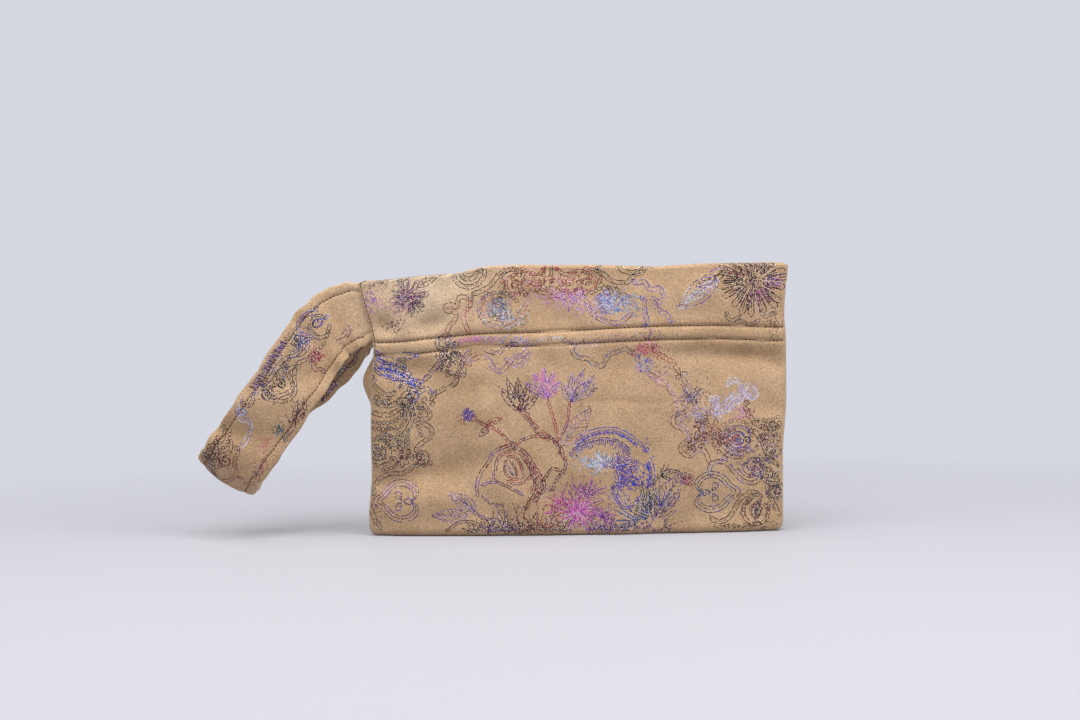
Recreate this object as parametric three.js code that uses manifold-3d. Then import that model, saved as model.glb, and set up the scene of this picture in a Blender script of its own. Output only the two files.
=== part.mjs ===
// A soft clutch bag in printed faux suede, with a wrist strap sewn into its left side seam.
// Two outer panels meet at seams down the sides and under the base. Each panel turns over at the
// mouth into its own facing, which two rows of topstitching hold, and a lining hangs from the facings.
// A magnetic snap on the facings keeps the mouth shut.
// Millimetres. +X to the right, +Y to the back, +Z up. The origin is on the ground under the front panel's
// share of the base, in the middle of the width, with the base seam just behind it.
import * as THREE from "three";
import { mergeVertices } from "three/addons/utils/BufferGeometryUtils.js";
import Module from "manifold-3d";

const wasm = await Module();
wasm.setup();

// Driving dimensions of the bag
const BODY_WIDTH = 255;
const BODY_HEIGHT = 166;
const BASE_DEPTH = 29;
const BELLY_DEPTH = 33;
const MOUTH_DEPTH = 15;
const SIDE_DEPTH = 10.4;
const BELLY_HEIGHT = 55;
const HEEL_RADIUS = 5;
const CORNER_RADIUS = 5.5;

// Layers of cloth
const SUEDE = 1.3;
const LINING = 0.6;
const CLEARANCE = 0.35;
const LAYER_GAP = LINING + 2 * CLEARANCE;
const FOLD_DEPTH = 2 * SUEDE + LAYER_GAP;
const LINING_SLACK = 2.6;
const SEAM_GAP = 0.15;
const SEAM_BEHIND_ORIGIN = 5;

// Topstitching that holds the facing: heights of the upper row, and the space down to the lower one
const ROW_HEIGHT = 125.2;
const ROW_SPACING = 8.2;
const ROW_GROOVE = 0.7;
const ROW_GROOVE_WIDTH = 1.6;
const FACING_BELOW_ROWS = 1;
const FACING_LEFT = -113;
const FACING_RIGHT = 116;

// Wrist strap: a strip folded and stitched flat, its two ends caught one on the other in the side seam
const STRAP_WIDTH = 42;
const STRAP_END_WIDTH = 33;
const STRAP_THICKNESS = 2.6;
const STRAP_END_GAP = 0.5;
const STRAP_EDGE_HALF = STRAP_THICKNESS + STRAP_END_GAP / 2 + CLEARANCE;
const STRAP_SEAM_LOW = 115;
const STRAP_SEAM_HIGH = 159;

// Magnetic snap
const SNAP_HEIGHT = 145;
const SNAP_RADIUS = 9;
const SNAP_FLAT = [15, 13];
const SNAP_REACH = [46, 27];
const SNAP_FACING_GAP = 2.3;
const SNAP_DIMPLE = 1.2;
const SOCKET_THICKNESS = 2.2;
const STUD_THICKNESS = 1.4;
const SNAP_BORE_RADIUS = 3.2;
const SNAP_BORE_DEPTH = 1.4;
const SNAP_NUB_RADIUS = 2.8;
const SNAP_NUB_HEIGHT = 1.2;
const SNAP_RIM = 0.4;
const SNAP_SEAT_GAP = 0.3;
const PRONG_SPREAD = 3.6;
const PRONG_WIDTH = 3.4;
const PRONG_METAL = 0.5;
const PRONG_FOOT = 4.2;
const SLIT_ROOM = 0.35;
const WASHER_THICKNESS = 0.6;
const WASHER_GAP = 0.15;

// How finely the cloth is divided
const PANEL_COLUMNS = 28;
const LINING_COLUMNS = 16;
const STRAP_STEPS = 42;
const SNAP_SIDES = 24;

const HALF_WIDTH = BODY_WIDTH / 2;
const FRONT = -1;
const BACK = 1;

// Small functions for shaping
const clamp01 = (x) => Math.min(1, Math.max(0, x));
const mix = (a, b, t) => a + (b - a) * t;
const bump = (distance, width) => Math.exp(-((distance / width) ** 2));
function ramp(from, to, x) {
  const t = clamp01((x - from) / (to - from));
  return t * t * (3 - 2 * t);
}

// A dent or a fold in the cloth: a smooth hump of the given depth, longer one way, turned by its angle.
function crease(x, z, { at, length, width, turn = 0, depth }) {
  const c = Math.cos(THREE.MathUtils.degToRad(turn));
  const s = Math.sin(THREE.MathUtils.degToRad(turn));
  const along = (x - at[0]) * c + (z - at[1]) * s;
  const across = (z - at[1]) * c - (x - at[0]) * s;
  return depth * bump(along, length) * bump(across, width);
}

// The mouth's edge: level, with a sag on the left where the strap pulls, and a slack dip on the right.
function mouthHeight(x) {
  const strapSag = 4.6 * ramp(52, 78, -x) + 3.2 * ramp(78, HALF_WIDTH, -x);
  return BODY_HEIGHT - strapSag - 1.6 * bump(x - 48, 24) + 0.5 * bump(x + 36, 14);
}

// The upper row of topstitching, which climbs to the right and falls away at both ends.
function upperRowHeight(x) {
  return ROW_HEIGHT + 3 * ramp(-40, 60, x) - 5.2 * ramp(50, 125, -x) - 1.9 * ramp(80, HALF_WIDTH, x);
}

// The side edges at a height: flared low on the left, drawn out by the strap above, fuller on the right.
function leftEdge(z) {
  const flare = 3 * bump(z - 12, 18) + 1.2 * bump(z - 60, 28);
  return -HALF_WIDTH - 0.9 - flare + 1.5 * ramp(94, 114, z) - 8.8 * ramp(116, 162, z);
}
function rightEdge(z) {
  return HALF_WIDTH - 1.9 + 2.4 * ramp(45, 85, z) - bump(z - 135, 10) + 1.4 * ramp(148, 163, z);
}

// Half the bag's depth along its middle: out from the base to the belly, then in to the mouth.
function middleDepth(z) {
  if (z < BELLY_HEIGHT) {
    return mix(BASE_DEPTH, BELLY_DEPTH, Math.sin((Math.PI / 2) * Math.max(0, z / BELLY_HEIGHT))) / 2;
  }
  const rise = Math.min(1, (z - BELLY_HEIGHT) / (BODY_HEIGHT - BELLY_HEIGHT));
  return mix(BELLY_DEPTH, MOUTH_DEPTH, rise ** 1.35) / 2;
}

// The plain pillow: full along the middle, thin at the sides. s runs from -1 at the left to 1 at the right.
function pillowDepth(s, z) {
  const side = SIDE_DEPTH / 2;
  return side + (middleDepth(z) - side) * (1 - Math.abs(s) ** 2.4);
}

// How far the snap pulls the cloth in: 1 on the flat patch under the snap, 0 well away from it.
function snapPull(x, z) {
  const across = 1 - ramp(SNAP_FLAT[0], SNAP_REACH[0], Math.abs(x));
  return across * (1 - ramp(SNAP_FLAT[1], SNAP_REACH[1], Math.abs(z - SNAP_HEIGHT)));
}

// Slack folds of each panel: hollows are negative, and ridges positive.
const FRONT_CREASES = [
  { at: [97, 108], length: 30, width: 5.5, turn: -2, depth: -2.2 },
  { at: [92, 93], length: 32, width: 9, turn: -4, depth: 1.2 },
  { at: [-101, 100], length: 13, width: 6.5, turn: 8, depth: -1.7 },
  { at: [-100, 42], length: 32, width: 7, turn: 15, depth: -1.7 },
  { at: [-92, 27], length: 24, width: 9, turn: 12, depth: 0.8 },
  { at: [-68, 64], length: 26, width: 16, turn: 20, depth: -0.9 },
  { at: [80, 15], length: 18, width: 9, turn: 10, depth: -1.0 },
  { at: [-88, 135], length: 7, width: 11, turn: 10, depth: -1.4 },
  { at: [-74, 148], length: 10, width: 14, turn: 0, depth: 0.8 },
  { at: [-122, 133], length: 6, width: 10, turn: -15, depth: -1.0 },
  { at: [70, 138], length: 40, width: 8, turn: 2, depth: -0.8 },
];
const BACK_CREASES = [
  { at: [-70, 103], length: 34, width: 6, turn: 3, depth: -1.8 },
  { at: [60, 60], length: 40, width: 14, turn: -18, depth: -1.1 },
  { at: [-60, 40], length: 30, width: 10, turn: 14, depth: -1.0 },
  { at: [85, 139], length: 9, width: 8, turn: 6, depth: -1.0 },
];

// Where the strap's ends lie in the left seam, the panels' edges stand apart to make room for them.
function seamHalfGap(s, z) {
  const above = ramp(STRAP_SEAM_LOW - 8, STRAP_SEAM_LOW, z);
  const strapRoom = above * (1 - ramp(STRAP_SEAM_HIGH, STRAP_SEAM_HIGH + 5, z));
  return s < 0 ? mix(SEAM_GAP, STRAP_EDGE_HALF, strapRoom) : SEAM_GAP;
}

// Across a panel, the last stretch before each seam rounds over to meet the other panel.
const SIDE_ROUND = 0.955;
const edgeShare = (s) => clamp01((Math.abs(s) - SIDE_ROUND) / (1 - SIDE_ROUND));
const roundOver = (s) => Math.sqrt(1 - edgeShare(s) ** 2);

// The left edge of the back panel swells out past the front one, below the strap.
const BACK_SWELL = 7.5;
function backSwell(s, z) {
  const nearEdge = ramp(0.8, 0.97, -s) * (1 - ramp(0.985, 1, -s));
  return BACK_SWELL * bump(z - 96, 14) * nearEdge;
}

function acrossAt(side, s, z, slack) {
  const x = mix(leftEdge(z), rightEdge(z), (s + 1) / 2);
  return side === BACK && slack ? x - backSwell(s, z) : x;
}

// Depth of the outer cloth from the seam plane. Its right side has the grooves that the stitching presses in,
// which its wrong side has not. A slack cloth has the folds, and the lining behind it is plain.
const RIGHT_SIDE = { slack: true, grooved: true };
const WRONG_SIDE = { slack: true, grooved: false };
const PLAIN = { slack: false, grooved: false };
function outerDepth(side, s, z, aboveRow, { slack, grooved }) {
  const x = acrossAt(side, s, z, slack);
  const creases = side === FRONT ? FRONT_CREASES : BACK_CREASES;
  const folds = slack ? creases.reduce((sum, c) => sum + crease(x, z, c), 0) : 0;
  const rows = bump(aboveRow, ROW_GROOVE_WIDTH) + bump(aboveRow + ROW_SPACING, ROW_GROOVE_WIDTH);
  const groove = grooved ? ROW_GROOVE * rows : 0;
  const full = pillowDepth(s, z) - SNAP_DIMPLE * snapPull(x, z) + folds - groove;
  const edge = seamHalfGap(s, z);
  return edge + (full - edge) * roundOver(s);
}

// Half the gap between the two facings, measured from the seam plane to a facing's right side.
function facingGap(x, z) {
  const s = x / HALF_WIDTH;
  return mix(pillowDepth(s, z) - FOLD_DEPTH, SNAP_FACING_GAP, snapPull(x, z));
}

// One point on a face of an outer panel. A panel has seven zones from the base seam to the facing's lower
// edge, and share runs from 0 to 1 through each.
function panelPoint(side, s, zone, share, finish) {
  const nominal = s * HALF_WIDTH;
  const top = mouthHeight(nominal);
  const upper = upperRowHeight(nominal);
  const lower = upper - ROW_SPACING;
  const lift = CORNER_RADIUS * (1 - Math.sqrt(1 - edgeShare(s) ** 2));
  const heelTop = lift + HEEL_RADIUS;
  const lip = top - FOLD_DEPTH / 2;
  const face = (z) => {
    const depth = outerDepth(side, s, z, z - upper, finish);
    return new THREE.Vector3(acrossAt(side, s, z, finish.slack), side * depth, z);
  };

  if (zone === "base" || zone === "heel") {
    const front = face(heelTop);
    const seam = seamHalfGap(s, 0);
    const flat = Math.max(seam, Math.abs(front.y) - HEEL_RADIUS * roundOver(s));
    if (zone === "base") return new THREE.Vector3(front.x, side * mix(seam, flat, share), lift);
    const turn = (share * Math.PI) / 2;
    const out = mix(flat, Math.abs(front.y), Math.sin(turn));
    return new THREE.Vector3(front.x, side * out, heelTop - HEEL_RADIUS * Math.cos(turn));
  }
  if (zone === "body") return face(mix(heelTop, lower, share));
  if (zone === "rows") return face(mix(lower, upper, share));
  if (zone === "band") return face(mix(upper, lip, share));

  const facingX = mix(FACING_LEFT, FACING_RIGHT, (s + 1) / 2);
  if (zone === "fold") {
    const outer = face(lip);
    const inner = facingGap(facingX, lip);
    const turn = share * Math.PI;
    const middle = (Math.abs(outer.y) + inner) / 2;
    const reach = (Math.abs(outer.y) - inner) / 2;
    const x = mix(outer.x, facingX, (1 - Math.cos(turn)) / 2);
    const z = lip + (FOLD_DEPTH / 2) * Math.sin(turn);
    return new THREE.Vector3(x, side * (middle + reach * Math.cos(turn)), z);
  }
  const z = mix(lip, upperRowHeight(facingX) - ROW_SPACING - FACING_BELOW_ROWS, share);
  return new THREE.Vector3(facingX, side * facingGap(facingX, z), z);
}

// The stations up a panel: how many steps each zone is divided into. The rows get their own close steps.
const PANEL_ZONES = { base: 2, heel: 3, body: 9, rows: 4, band: 5, fold: 5, facing: 6 };
const LINING_ZONES = { base: 1, heel: 2, body: 6, rows: 2 };
const LINING_CAUGHT = 0.5;
function stationsOf(zones, lastShare = 1) {
  const steps = Object.entries(zones).flatMap(([zone, count], k, all) => {
    const reach = k === all.length - 1 ? lastShare : 1;
    return Array.from({ length: count }, (_, i) => ({ zone, share: (reach * (i + 1)) / count }));
  });
  return [{ zone: Object.keys(zones)[0], share: 0 }, ...steps];
}

// Columns across a panel, closer together towards the seams.
function columnsOf(count) {
  return Array.from({ length: count + 1 }, (_, i) => Math.sin((Math.PI / 2) * ((2 * i) / count - 1)));
}

function panelGrid(side, stations, columns, finish) {
  return stations.map(({ zone, share }) => columns.map((s) => panelPoint(side, s, zone, share, finish)));
}

// The grid moved inwards along its normals. On the base seam, and on the side seams up to the mouth, a point
// stays in its seam plane, and none crosses to the other panel's side.
function offsetGrid(grid, stations, distanceAt, side) {
  const lastRow = grid.length - 1;
  const lastColumn = grid[0].length - 1;
  const turnedIn = (j) => stations[j].zone === "fold" || stations[j].zone === "facing";
  const onSeam = (j, i) => j === 0 || (!turnedIn(j) && (i === 0 || i === lastColumn));
  return grid.map((row, j) =>
    row.map((point, i) => {
      const across = grid[j][Math.min(i + 1, lastColumn)].clone().sub(grid[j][Math.max(i - 1, 0)]);
      const along = grid[Math.min(j + 1, lastRow)][i].clone().sub(grid[Math.max(j - 1, 0)][i]);
      const normal = across.cross(along).multiplyScalar(-side);
      if (onSeam(j, i)) normal.y = 0;
      const moved = point.clone().addScaledVector(normal.normalize(), -distanceAt(point));
      moved.y = side * Math.max(SEAM_GAP, side * moved.y);
      return moved;
    }),
  );
}

// A closed solid between two grids of points with the same rows and columns.
function solidBetween(rightSide, wrongSide, flip) {
  const rows = rightSide.length;
  const columns = rightSide[0].length;
  const positions = [...rightSide.flat(), ...wrongSide.flat()].flatMap((p) => [p.x, p.y, p.z]);
  const index = [];
  const quad = (a, b, c, d) => index.push(...(flip ? [a, c, b, a, d, c] : [a, b, c, a, c, d]));
  const right = (j, i) => j * columns + i;
  const wrong = (j, i) => rows * columns + j * columns + i;
  for (let j = 0; j < rows - 1; j++) {
    for (let i = 0; i < columns - 1; i++) {
      quad(right(j, i), right(j, i + 1), right(j + 1, i + 1), right(j + 1, i));
      quad(wrong(j, i), wrong(j + 1, i), wrong(j + 1, i + 1), wrong(j, i + 1));
    }
  }
  for (let i = 0; i < columns - 1; i++) {
    quad(right(0, i), wrong(0, i), wrong(0, i + 1), right(0, i + 1));
    quad(right(rows - 1, i), right(rows - 1, i + 1), wrong(rows - 1, i + 1), wrong(rows - 1, i));
  }
  for (let j = 0; j < rows - 1; j++) {
    quad(right(j, 0), right(j + 1, 0), wrong(j + 1, 0), wrong(j, 0));
    quad(right(j, columns - 1), wrong(j, columns - 1), wrong(j + 1, columns - 1), right(j + 1, columns - 1));
  }
  const geometry = new THREE.BufferGeometry();
  geometry.setAttribute("position", new THREE.Float32BufferAttribute(positions, 3));
  geometry.setIndex(index);
  return geometry;
}

// Joining and cutting of closed geometries
function toSolid(geometry) {
  const bare = geometry.clone();
  bare.deleteAttribute("normal");
  bare.deleteAttribute("uv");
  const merged = mergeVertices(bare, 1e-4);
  return new wasm.Manifold(
    new wasm.Mesh({
      numProp: 3,
      vertProperties: new Float32Array(merged.attributes.position.array),
      triVerts: new Uint32Array(merged.index.array),
    }),
  );
}
function toGeometry(solid) {
  const mesh = solid.getMesh();
  const geometry = new THREE.BufferGeometry();
  geometry.setAttribute("position", new THREE.BufferAttribute(mesh.vertProperties, 3));
  geometry.setIndex(new THREE.BufferAttribute(mesh.triVerts, 1));
  return geometry;
}

// Slits through a facing or a washer for the two prongs of a snap half, as boxes that pass along Y.
function prongSlits(depthFrom, depthTo, side) {
  return [-1, 1].map((end) =>
    new THREE.BoxGeometry(
      PRONG_WIDTH + 2 * SLIT_ROOM,
      depthTo - depthFrom,
      PRONG_METAL + 2 * SLIT_ROOM,
    ).translate(0, (side * (depthFrom + depthTo)) / 2, SNAP_HEIGHT + end * PRONG_SPREAD),
  );
}

function cutSlits(solid, depthFrom, depthTo, side) {
  return prongSlits(depthFrom, depthTo, side).reduce((left, slit) => left.subtract(toSolid(slit)), solid);
}

// Outer panels
const FACING_BACK = SNAP_FACING_GAP + SUEDE;
function outerPanel(side) {
  const stations = stationsOf(PANEL_ZONES);
  const columns = columnsOf(PANEL_COLUMNS);
  const rightSide = panelGrid(side, stations, columns, RIGHT_SIDE);
  const smooth = panelGrid(side, stations, columns, WRONG_SIDE);
  const cloth = solidBetween(rightSide, offsetGrid(smooth, stations, () => SUEDE, side), side === BACK);
  return toGeometry(cutSlits(toSolid(cloth), SNAP_FACING_GAP - 0.5, FACING_BACK + 0.5, side));
}

// Lining panels: they hang loose inside the outer ones, and the rows of stitching catch their top edges
function liningPanel(side) {
  const stations = stationsOf(LINING_ZONES, LINING_CAUGHT);
  const grid = panelGrid(side, stations, columnsOf(LINING_COLUMNS), PLAIN);
  const close = SUEDE + CLEARANCE;
  const loose = ({ x, z }) => LINING_SLACK * ramp(3, 9, upperRowHeight(x) - ROW_SPACING - z);
  const outside = offsetGrid(grid, stations, (p) => close + loose(p), side);
  const inside = offsetGrid(grid, stations, (p) => close + loose(p) + LINING, side);
  return solidBetween(outside, inside, side === BACK);
}

// The strap's middle line: out of the left seam in front, down and round at the far end, and back behind.
// Each stop gives a point on the line and the lean of the strap's width there, in degrees from +X.
const STRAP_STOPS = [
  { at: [-122.3, -1.55, 141.3], lean: 105 },
  { at: [-134, -1.6, 138.6], lean: 105 },
  { at: [-145, -4, 135], lean: 108 },
  { at: [-154.5, -9, 128.5], lean: 119 },
  { at: [-164, -12.5, 116.5], lean: 135 },
  { at: [-183.5, -16, 88], lean: 145 },
  { at: [-204, -14, 60], lean: 145 },
  { at: [-216.5, -9.5, 43], lean: 145 },
  { at: [-221.5, 0, 35.5], lean: 145 },
  { at: [-215.5, 9.5, 44], lean: 145 },
  { at: [-203, 13.5, 62], lean: 146 },
  { at: [-187, 16.5, 86], lean: 144 },
  { at: [-166, 16, 103], lean: 135 },
  { at: [-153.5, 12, 116], lean: 138 },
  { at: [-144, 5.2, 129], lean: 124 },
  { at: [-134, 1.6, 137.6], lean: 106 },
  { at: [-122.3, 1.55, 141.3], lean: 105 },
];
const STRAP_ENDS = 0.11;

// Where the strap turns down, its lower edge is slack and tucks back in a small pleat.
const STRAP_TUCK = { at: 0.19, length: 0.035, depth: 4.2 };

// At the far end the strap's middle bulges out beyond its two edges, which lag towards the bag.
const STRAP_BULGE = { at: 0.5, length: 0.075, depth: 4.5, towards: new THREE.Vector3(0.58, 0, 0.81) };

// The section across the strap: flat faces between rounded edges, as shares of the width and the face they lie on.
const STRAP_SECTION = [-1, -0.94, -0.55, 0, 0.55, 0.94, 1, 0.94, 0.55, 0, -0.55, -0.94].map((w, i) => {
  const face = Math.abs(w) === 1 ? 0 : i < 6 ? 1 : -1;
  return { w, face };
});

// The lean at a share of the way along, eased from stop to stop.
function strapLean(share) {
  const place = share * (STRAP_STOPS.length - 1);
  const stop = Math.min(Math.floor(place), STRAP_STOPS.length - 2);
  return mix(STRAP_STOPS[stop].lean, STRAP_STOPS[stop + 1].lean, ramp(0, 1, place - stop));
}

function wristStrap() {
  const stops = STRAP_STOPS.map(({ at }) => new THREE.Vector3(...at));
  const line = new THREE.CatmullRomCurve3(stops, false, "centripetal");
  const rings = [];
  for (let i = 0; i <= STRAP_STEPS; i++) {
    const share = i / STRAP_STEPS;
    const at = line.getPoint(share);
    const tangent = line.getTangent(share);
    const lean = THREE.MathUtils.degToRad(strapLean(share));
    const up = new THREE.Vector3(Math.cos(lean), 0, Math.sin(lean));
    const across = up.addScaledVector(tangent, -up.dot(tangent)).normalize();
    const normal = across.clone().cross(tangent);
    const full = ramp(0, STRAP_ENDS, share) * ramp(0, STRAP_ENDS, 1 - share);
    const half = mix(STRAP_END_WIDTH, STRAP_WIDTH, full) / 2;
    const tuck = STRAP_TUCK.depth * bump(share - STRAP_TUCK.at, STRAP_TUCK.length);
    const lag = STRAP_BULGE.depth * bump(share - STRAP_BULGE.at, STRAP_BULGE.length);
    rings.push(
      STRAP_SECTION.map(({ w, face }) =>
        at
          .clone()
          .addScaledVector(across, w * half)
          .addScaledVector(STRAP_BULGE.towards, lag * w * w)
          .addScaledVector(normal, (face * STRAP_THICKNESS) / 2 - tuck * ramp(0.1, 1, -w)),
      ),
    );
  }
  return ringSolid(rings);
}

// A closed solid through a row of rings, with a fan over each end.
function ringSolid(rings) {
  const count = rings[0].length;
  const ends = [rings[0], rings[rings.length - 1]].map((ring) =>
    ring.reduce((sum, p) => sum.add(p), new THREE.Vector3()).divideScalar(count),
  );
  const positions = [...rings.flat(), ...ends].flatMap((p) => [p.x, p.y, p.z]);
  const first = rings.length * count;
  const index = [];
  for (let k = 0; k < count; k++) {
    const next = (k + 1) % count;
    for (let i = 0; i < rings.length - 1; i++) {
      const [a, b] = [i * count + k, i * count + next];
      index.push(a, b, b + count, a, b + count, a + count);
    }
    const last = (rings.length - 1) * count;
    index.push(first, next, k, first + 1, last + k, last + next);
  }
  const geometry = new THREE.BufferGeometry();
  geometry.setAttribute("position", new THREE.Float32BufferAttribute(positions, 3));
  geometry.setIndex(index);
  return geometry;
}

// A half of the snap: a turned disc, with two prongs that go through the facing and fold flat on the washer.
// The profile is drawn as [radius, height], with height counted from the facing towards the other half.
function snapHalf(profile, side) {
  const disc = new THREE.LatheGeometry(profile.map(([r, h]) => new THREE.Vector2(r, h)), SNAP_SIDES);
  const back = SNAP_SEAT_GAP + SUEDE + WASHER_GAP + WASHER_THICKNESS + WASHER_GAP;
  const prongs = [-1, 1].map((end) => {
    const leg = new THREE.Shape();
    const near = PRONG_SPREAD - PRONG_METAL / 2;
    const far = PRONG_SPREAD + PRONG_METAL / 2;
    leg.moveTo(near, SNAP_RIM);
    leg.lineTo(near, -back - PRONG_METAL);
    leg.lineTo(near + PRONG_FOOT, -back - PRONG_METAL);
    leg.lineTo(near + PRONG_FOOT, -back);
    leg.lineTo(far, -back);
    leg.lineTo(far, SNAP_RIM);
    const plate = new THREE.ExtrudeGeometry(leg, { depth: PRONG_WIDTH, bevelEnabled: false });
    plate.translate(0, 0, -PRONG_WIDTH / 2);
    return end < 0 ? plate.rotateY(Math.PI) : plate;
  });
  const joined = prongs.reduce((solid, prong) => solid.add(toSolid(prong)), toSolid(disc));
  // The disc was turned about +Y with its prongs spread along X: it is rolled so that they spread up and down,
  // and the back half is turned about to face the front one.
  const geometry = toGeometry(joined).rotateY(Math.PI / 2);
  if (side === BACK) geometry.rotateX(Math.PI);
  return geometry.translate(0, side * (SNAP_FACING_GAP - SNAP_SEAT_GAP), SNAP_HEIGHT);
}

const SOCKET_PROFILE = [
  [0, 0],
  [SNAP_RADIUS - SNAP_RIM, 0],
  [SNAP_RADIUS, SNAP_RIM],
  [SNAP_RADIUS, SOCKET_THICKNESS - SNAP_RIM],
  [SNAP_RADIUS - SNAP_RIM, SOCKET_THICKNESS],
  [SNAP_BORE_RADIUS, SOCKET_THICKNESS],
  [SNAP_BORE_RADIUS, SOCKET_THICKNESS - SNAP_BORE_DEPTH],
  [0, SOCKET_THICKNESS - SNAP_BORE_DEPTH],
];
const STUD_PROFILE = [
  [0, 0],
  [SNAP_RADIUS - SNAP_RIM, 0],
  [SNAP_RADIUS, SNAP_RIM],
  [SNAP_RADIUS, STUD_THICKNESS - SNAP_RIM],
  [SNAP_RADIUS - SNAP_RIM, STUD_THICKNESS],
  [SNAP_NUB_RADIUS, STUD_THICKNESS],
  [SNAP_NUB_RADIUS - SNAP_RIM / 2, STUD_THICKNESS + SNAP_NUB_HEIGHT],
  [0, STUD_THICKNESS + SNAP_NUB_HEIGHT],
];

// The washer behind a facing, which spreads the pull of the prongs
function snapWasher(side) {
  const outline = new THREE.Shape().absarc(0, 0, SNAP_RADIUS, 0, 2 * Math.PI);
  const plate = new THREE.ExtrudeGeometry(outline, {
    depth: WASHER_THICKNESS,
    bevelEnabled: false,
    curveSegments: SNAP_SIDES,
  });
  const depth = FACING_BACK + WASHER_GAP;
  plate.rotateX(Math.PI / 2);
  plate.translate(0, side * (depth + (side === BACK ? WASHER_THICKNESS : 0)), SNAP_HEIGHT);
  return toGeometry(cutSlits(toSolid(plate), depth - 0.5, depth + WASHER_THICKNESS + 0.5, side));
}

// Finishes
const suede = new THREE.MeshStandardMaterial({ color: 0xb89a78, roughness: 0.95, metalness: 0 });
const liningCloth = new THREE.MeshStandardMaterial({ color: 0x8a7660, roughness: 0.8, metalness: 0 });
const nickel = new THREE.MeshStandardMaterial({ color: 0xb9b4aa, roughness: 0.3, metalness: 1 });

function piece(name, geometry, material) {
  const mesh = new THREE.Mesh(geometry, material);
  mesh.name = name;
  return mesh;
}

const bag = new THREE.Group();
bag.position.y = SEAM_BEHIND_ORIGIN;
bag.add(
  piece("front_panel", outerPanel(FRONT), suede),
  piece("back_panel", outerPanel(BACK), suede),
  piece("front_lining", liningPanel(FRONT), liningCloth),
  piece("back_lining", liningPanel(BACK), liningCloth),
  piece("wrist_strap", wristStrap(), suede),
  piece("snap_socket", snapHalf(SOCKET_PROFILE, FRONT), nickel),
  piece("snap_stud", snapHalf(STUD_PROFILE, BACK), nickel),
  piece("snap_socket_washer", snapWasher(FRONT), nickel),
  piece("snap_stud_washer", snapWasher(BACK), nickel),
);

export default bag;
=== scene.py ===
"""A soft clutch bag in printed faux suede with a wrist strap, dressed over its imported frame.

Shapes are worked out in millimetres, with the seam plane at y = 0, and put into the meshes in metres.
"""
import math

import bpy
import numpy as np
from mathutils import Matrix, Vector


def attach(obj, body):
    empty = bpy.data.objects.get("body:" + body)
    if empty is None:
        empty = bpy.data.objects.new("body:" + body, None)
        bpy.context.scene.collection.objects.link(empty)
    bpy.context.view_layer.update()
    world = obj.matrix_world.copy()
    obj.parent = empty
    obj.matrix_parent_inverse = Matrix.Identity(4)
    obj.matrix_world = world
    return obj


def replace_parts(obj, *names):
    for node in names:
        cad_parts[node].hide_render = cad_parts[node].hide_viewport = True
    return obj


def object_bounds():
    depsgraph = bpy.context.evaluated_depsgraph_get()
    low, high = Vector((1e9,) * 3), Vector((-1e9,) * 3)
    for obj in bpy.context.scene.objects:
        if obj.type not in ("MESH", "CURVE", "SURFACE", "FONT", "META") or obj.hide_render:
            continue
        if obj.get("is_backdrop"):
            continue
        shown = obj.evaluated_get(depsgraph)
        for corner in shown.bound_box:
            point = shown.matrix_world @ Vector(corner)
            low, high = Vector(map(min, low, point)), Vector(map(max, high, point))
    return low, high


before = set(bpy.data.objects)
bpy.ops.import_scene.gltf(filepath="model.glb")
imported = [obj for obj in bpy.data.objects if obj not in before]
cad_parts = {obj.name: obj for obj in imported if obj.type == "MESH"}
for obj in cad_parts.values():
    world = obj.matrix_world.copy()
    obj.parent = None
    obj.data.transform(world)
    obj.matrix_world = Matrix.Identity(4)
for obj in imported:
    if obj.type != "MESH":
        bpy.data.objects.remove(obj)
cad_low, cad_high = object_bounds()

# The outer panels
# Two alike pieces of tan faux suede, fused to a stiffening and sewn together inside out down the sides
# and under the base. Each turns over at the mouth and runs down inside as its own facing.
HALF_WIDTH, BODY_HEIGHT = 127.5, 166.0
BASE_HALF, BELLY_HALF, MOUTH_HALF, SIDE_HALF, BELLY_HEIGHT = 14.5, 16.5, 7.5, 5.2, 55.0
HEEL_RADIUS, CORNER_RADIUS, SIDE_ROUND = 5.0, 5.5, 0.955
SUEDE, FOLD_DEPTH, SEAM_GAP, SEAM_BEHIND_ORIGIN, BASE_RISE = 1.3, 3.9, 0.15, 5.0, 0.05
ROW_SPACING, ROW_GROOVE, ROW_GROOVE_WIDTH = 8.2, 1.35, 1.15
PUFF_BETWEEN, PUFF_ABOVE, PUFF_WIDTH, PUCKER, PUCKER_REACH = 0.55, 0.3, 3, 0.07, 9
FACING_LEFT, FACING_RIGHT, FACING_BELOW_ROWS = -113.0, 116.0, 1.0
STRAP_ROOM_LOW, STRAP_ROOM_HIGH, STRAP_ROOM_HALF = 115.0, 159.0, 3.2
SNAP_HEIGHT, SNAP_FACING_GAP, SNAP_DIMPLE = 145.0, 2.3, 1.2
BACK_SWELL, BACK_SWELL_HEIGHT, BACK_SWELL_REACH = 7.5, 96, 14
FRONT, BACK = -1, 1


def ramp(start, end, x):
    """0 before start and 1 after end, with an S-shaped cubic between."""
    t = np.clip((x - start) / (end - start), 0, 1)
    return t * t * (3 - 2 * t)


def bump(distance, width):
    """A bell: e to the minus square of distance over width."""
    return np.exp(-((distance / width) ** 2))


def mix(a, b, t):
    """a at t = 0 and b at t = 1, in a straight line."""
    return a + (b - a) * t


def mouth_height(x):
    """Level, less a sag on the left where the strap pulls and a slack dip on the right."""
    sag = 4.6 * ramp(52, 78, -x) + 3.2 * ramp(78, HALF_WIDTH, -x)
    return BODY_HEIGHT - sag - 1.6 * bump(x - 48, 24) + 0.5 * bump(x + 36, 14)


def upper_row_height(x):
    """The upper row of stitching: it climbs to the right and falls away at both ends."""
    return 125.2 + 3 * ramp(-40, 60, x) - 5.2 * ramp(50, 125, -x) - 1.9 * ramp(80, HALF_WIDTH, x)


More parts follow.
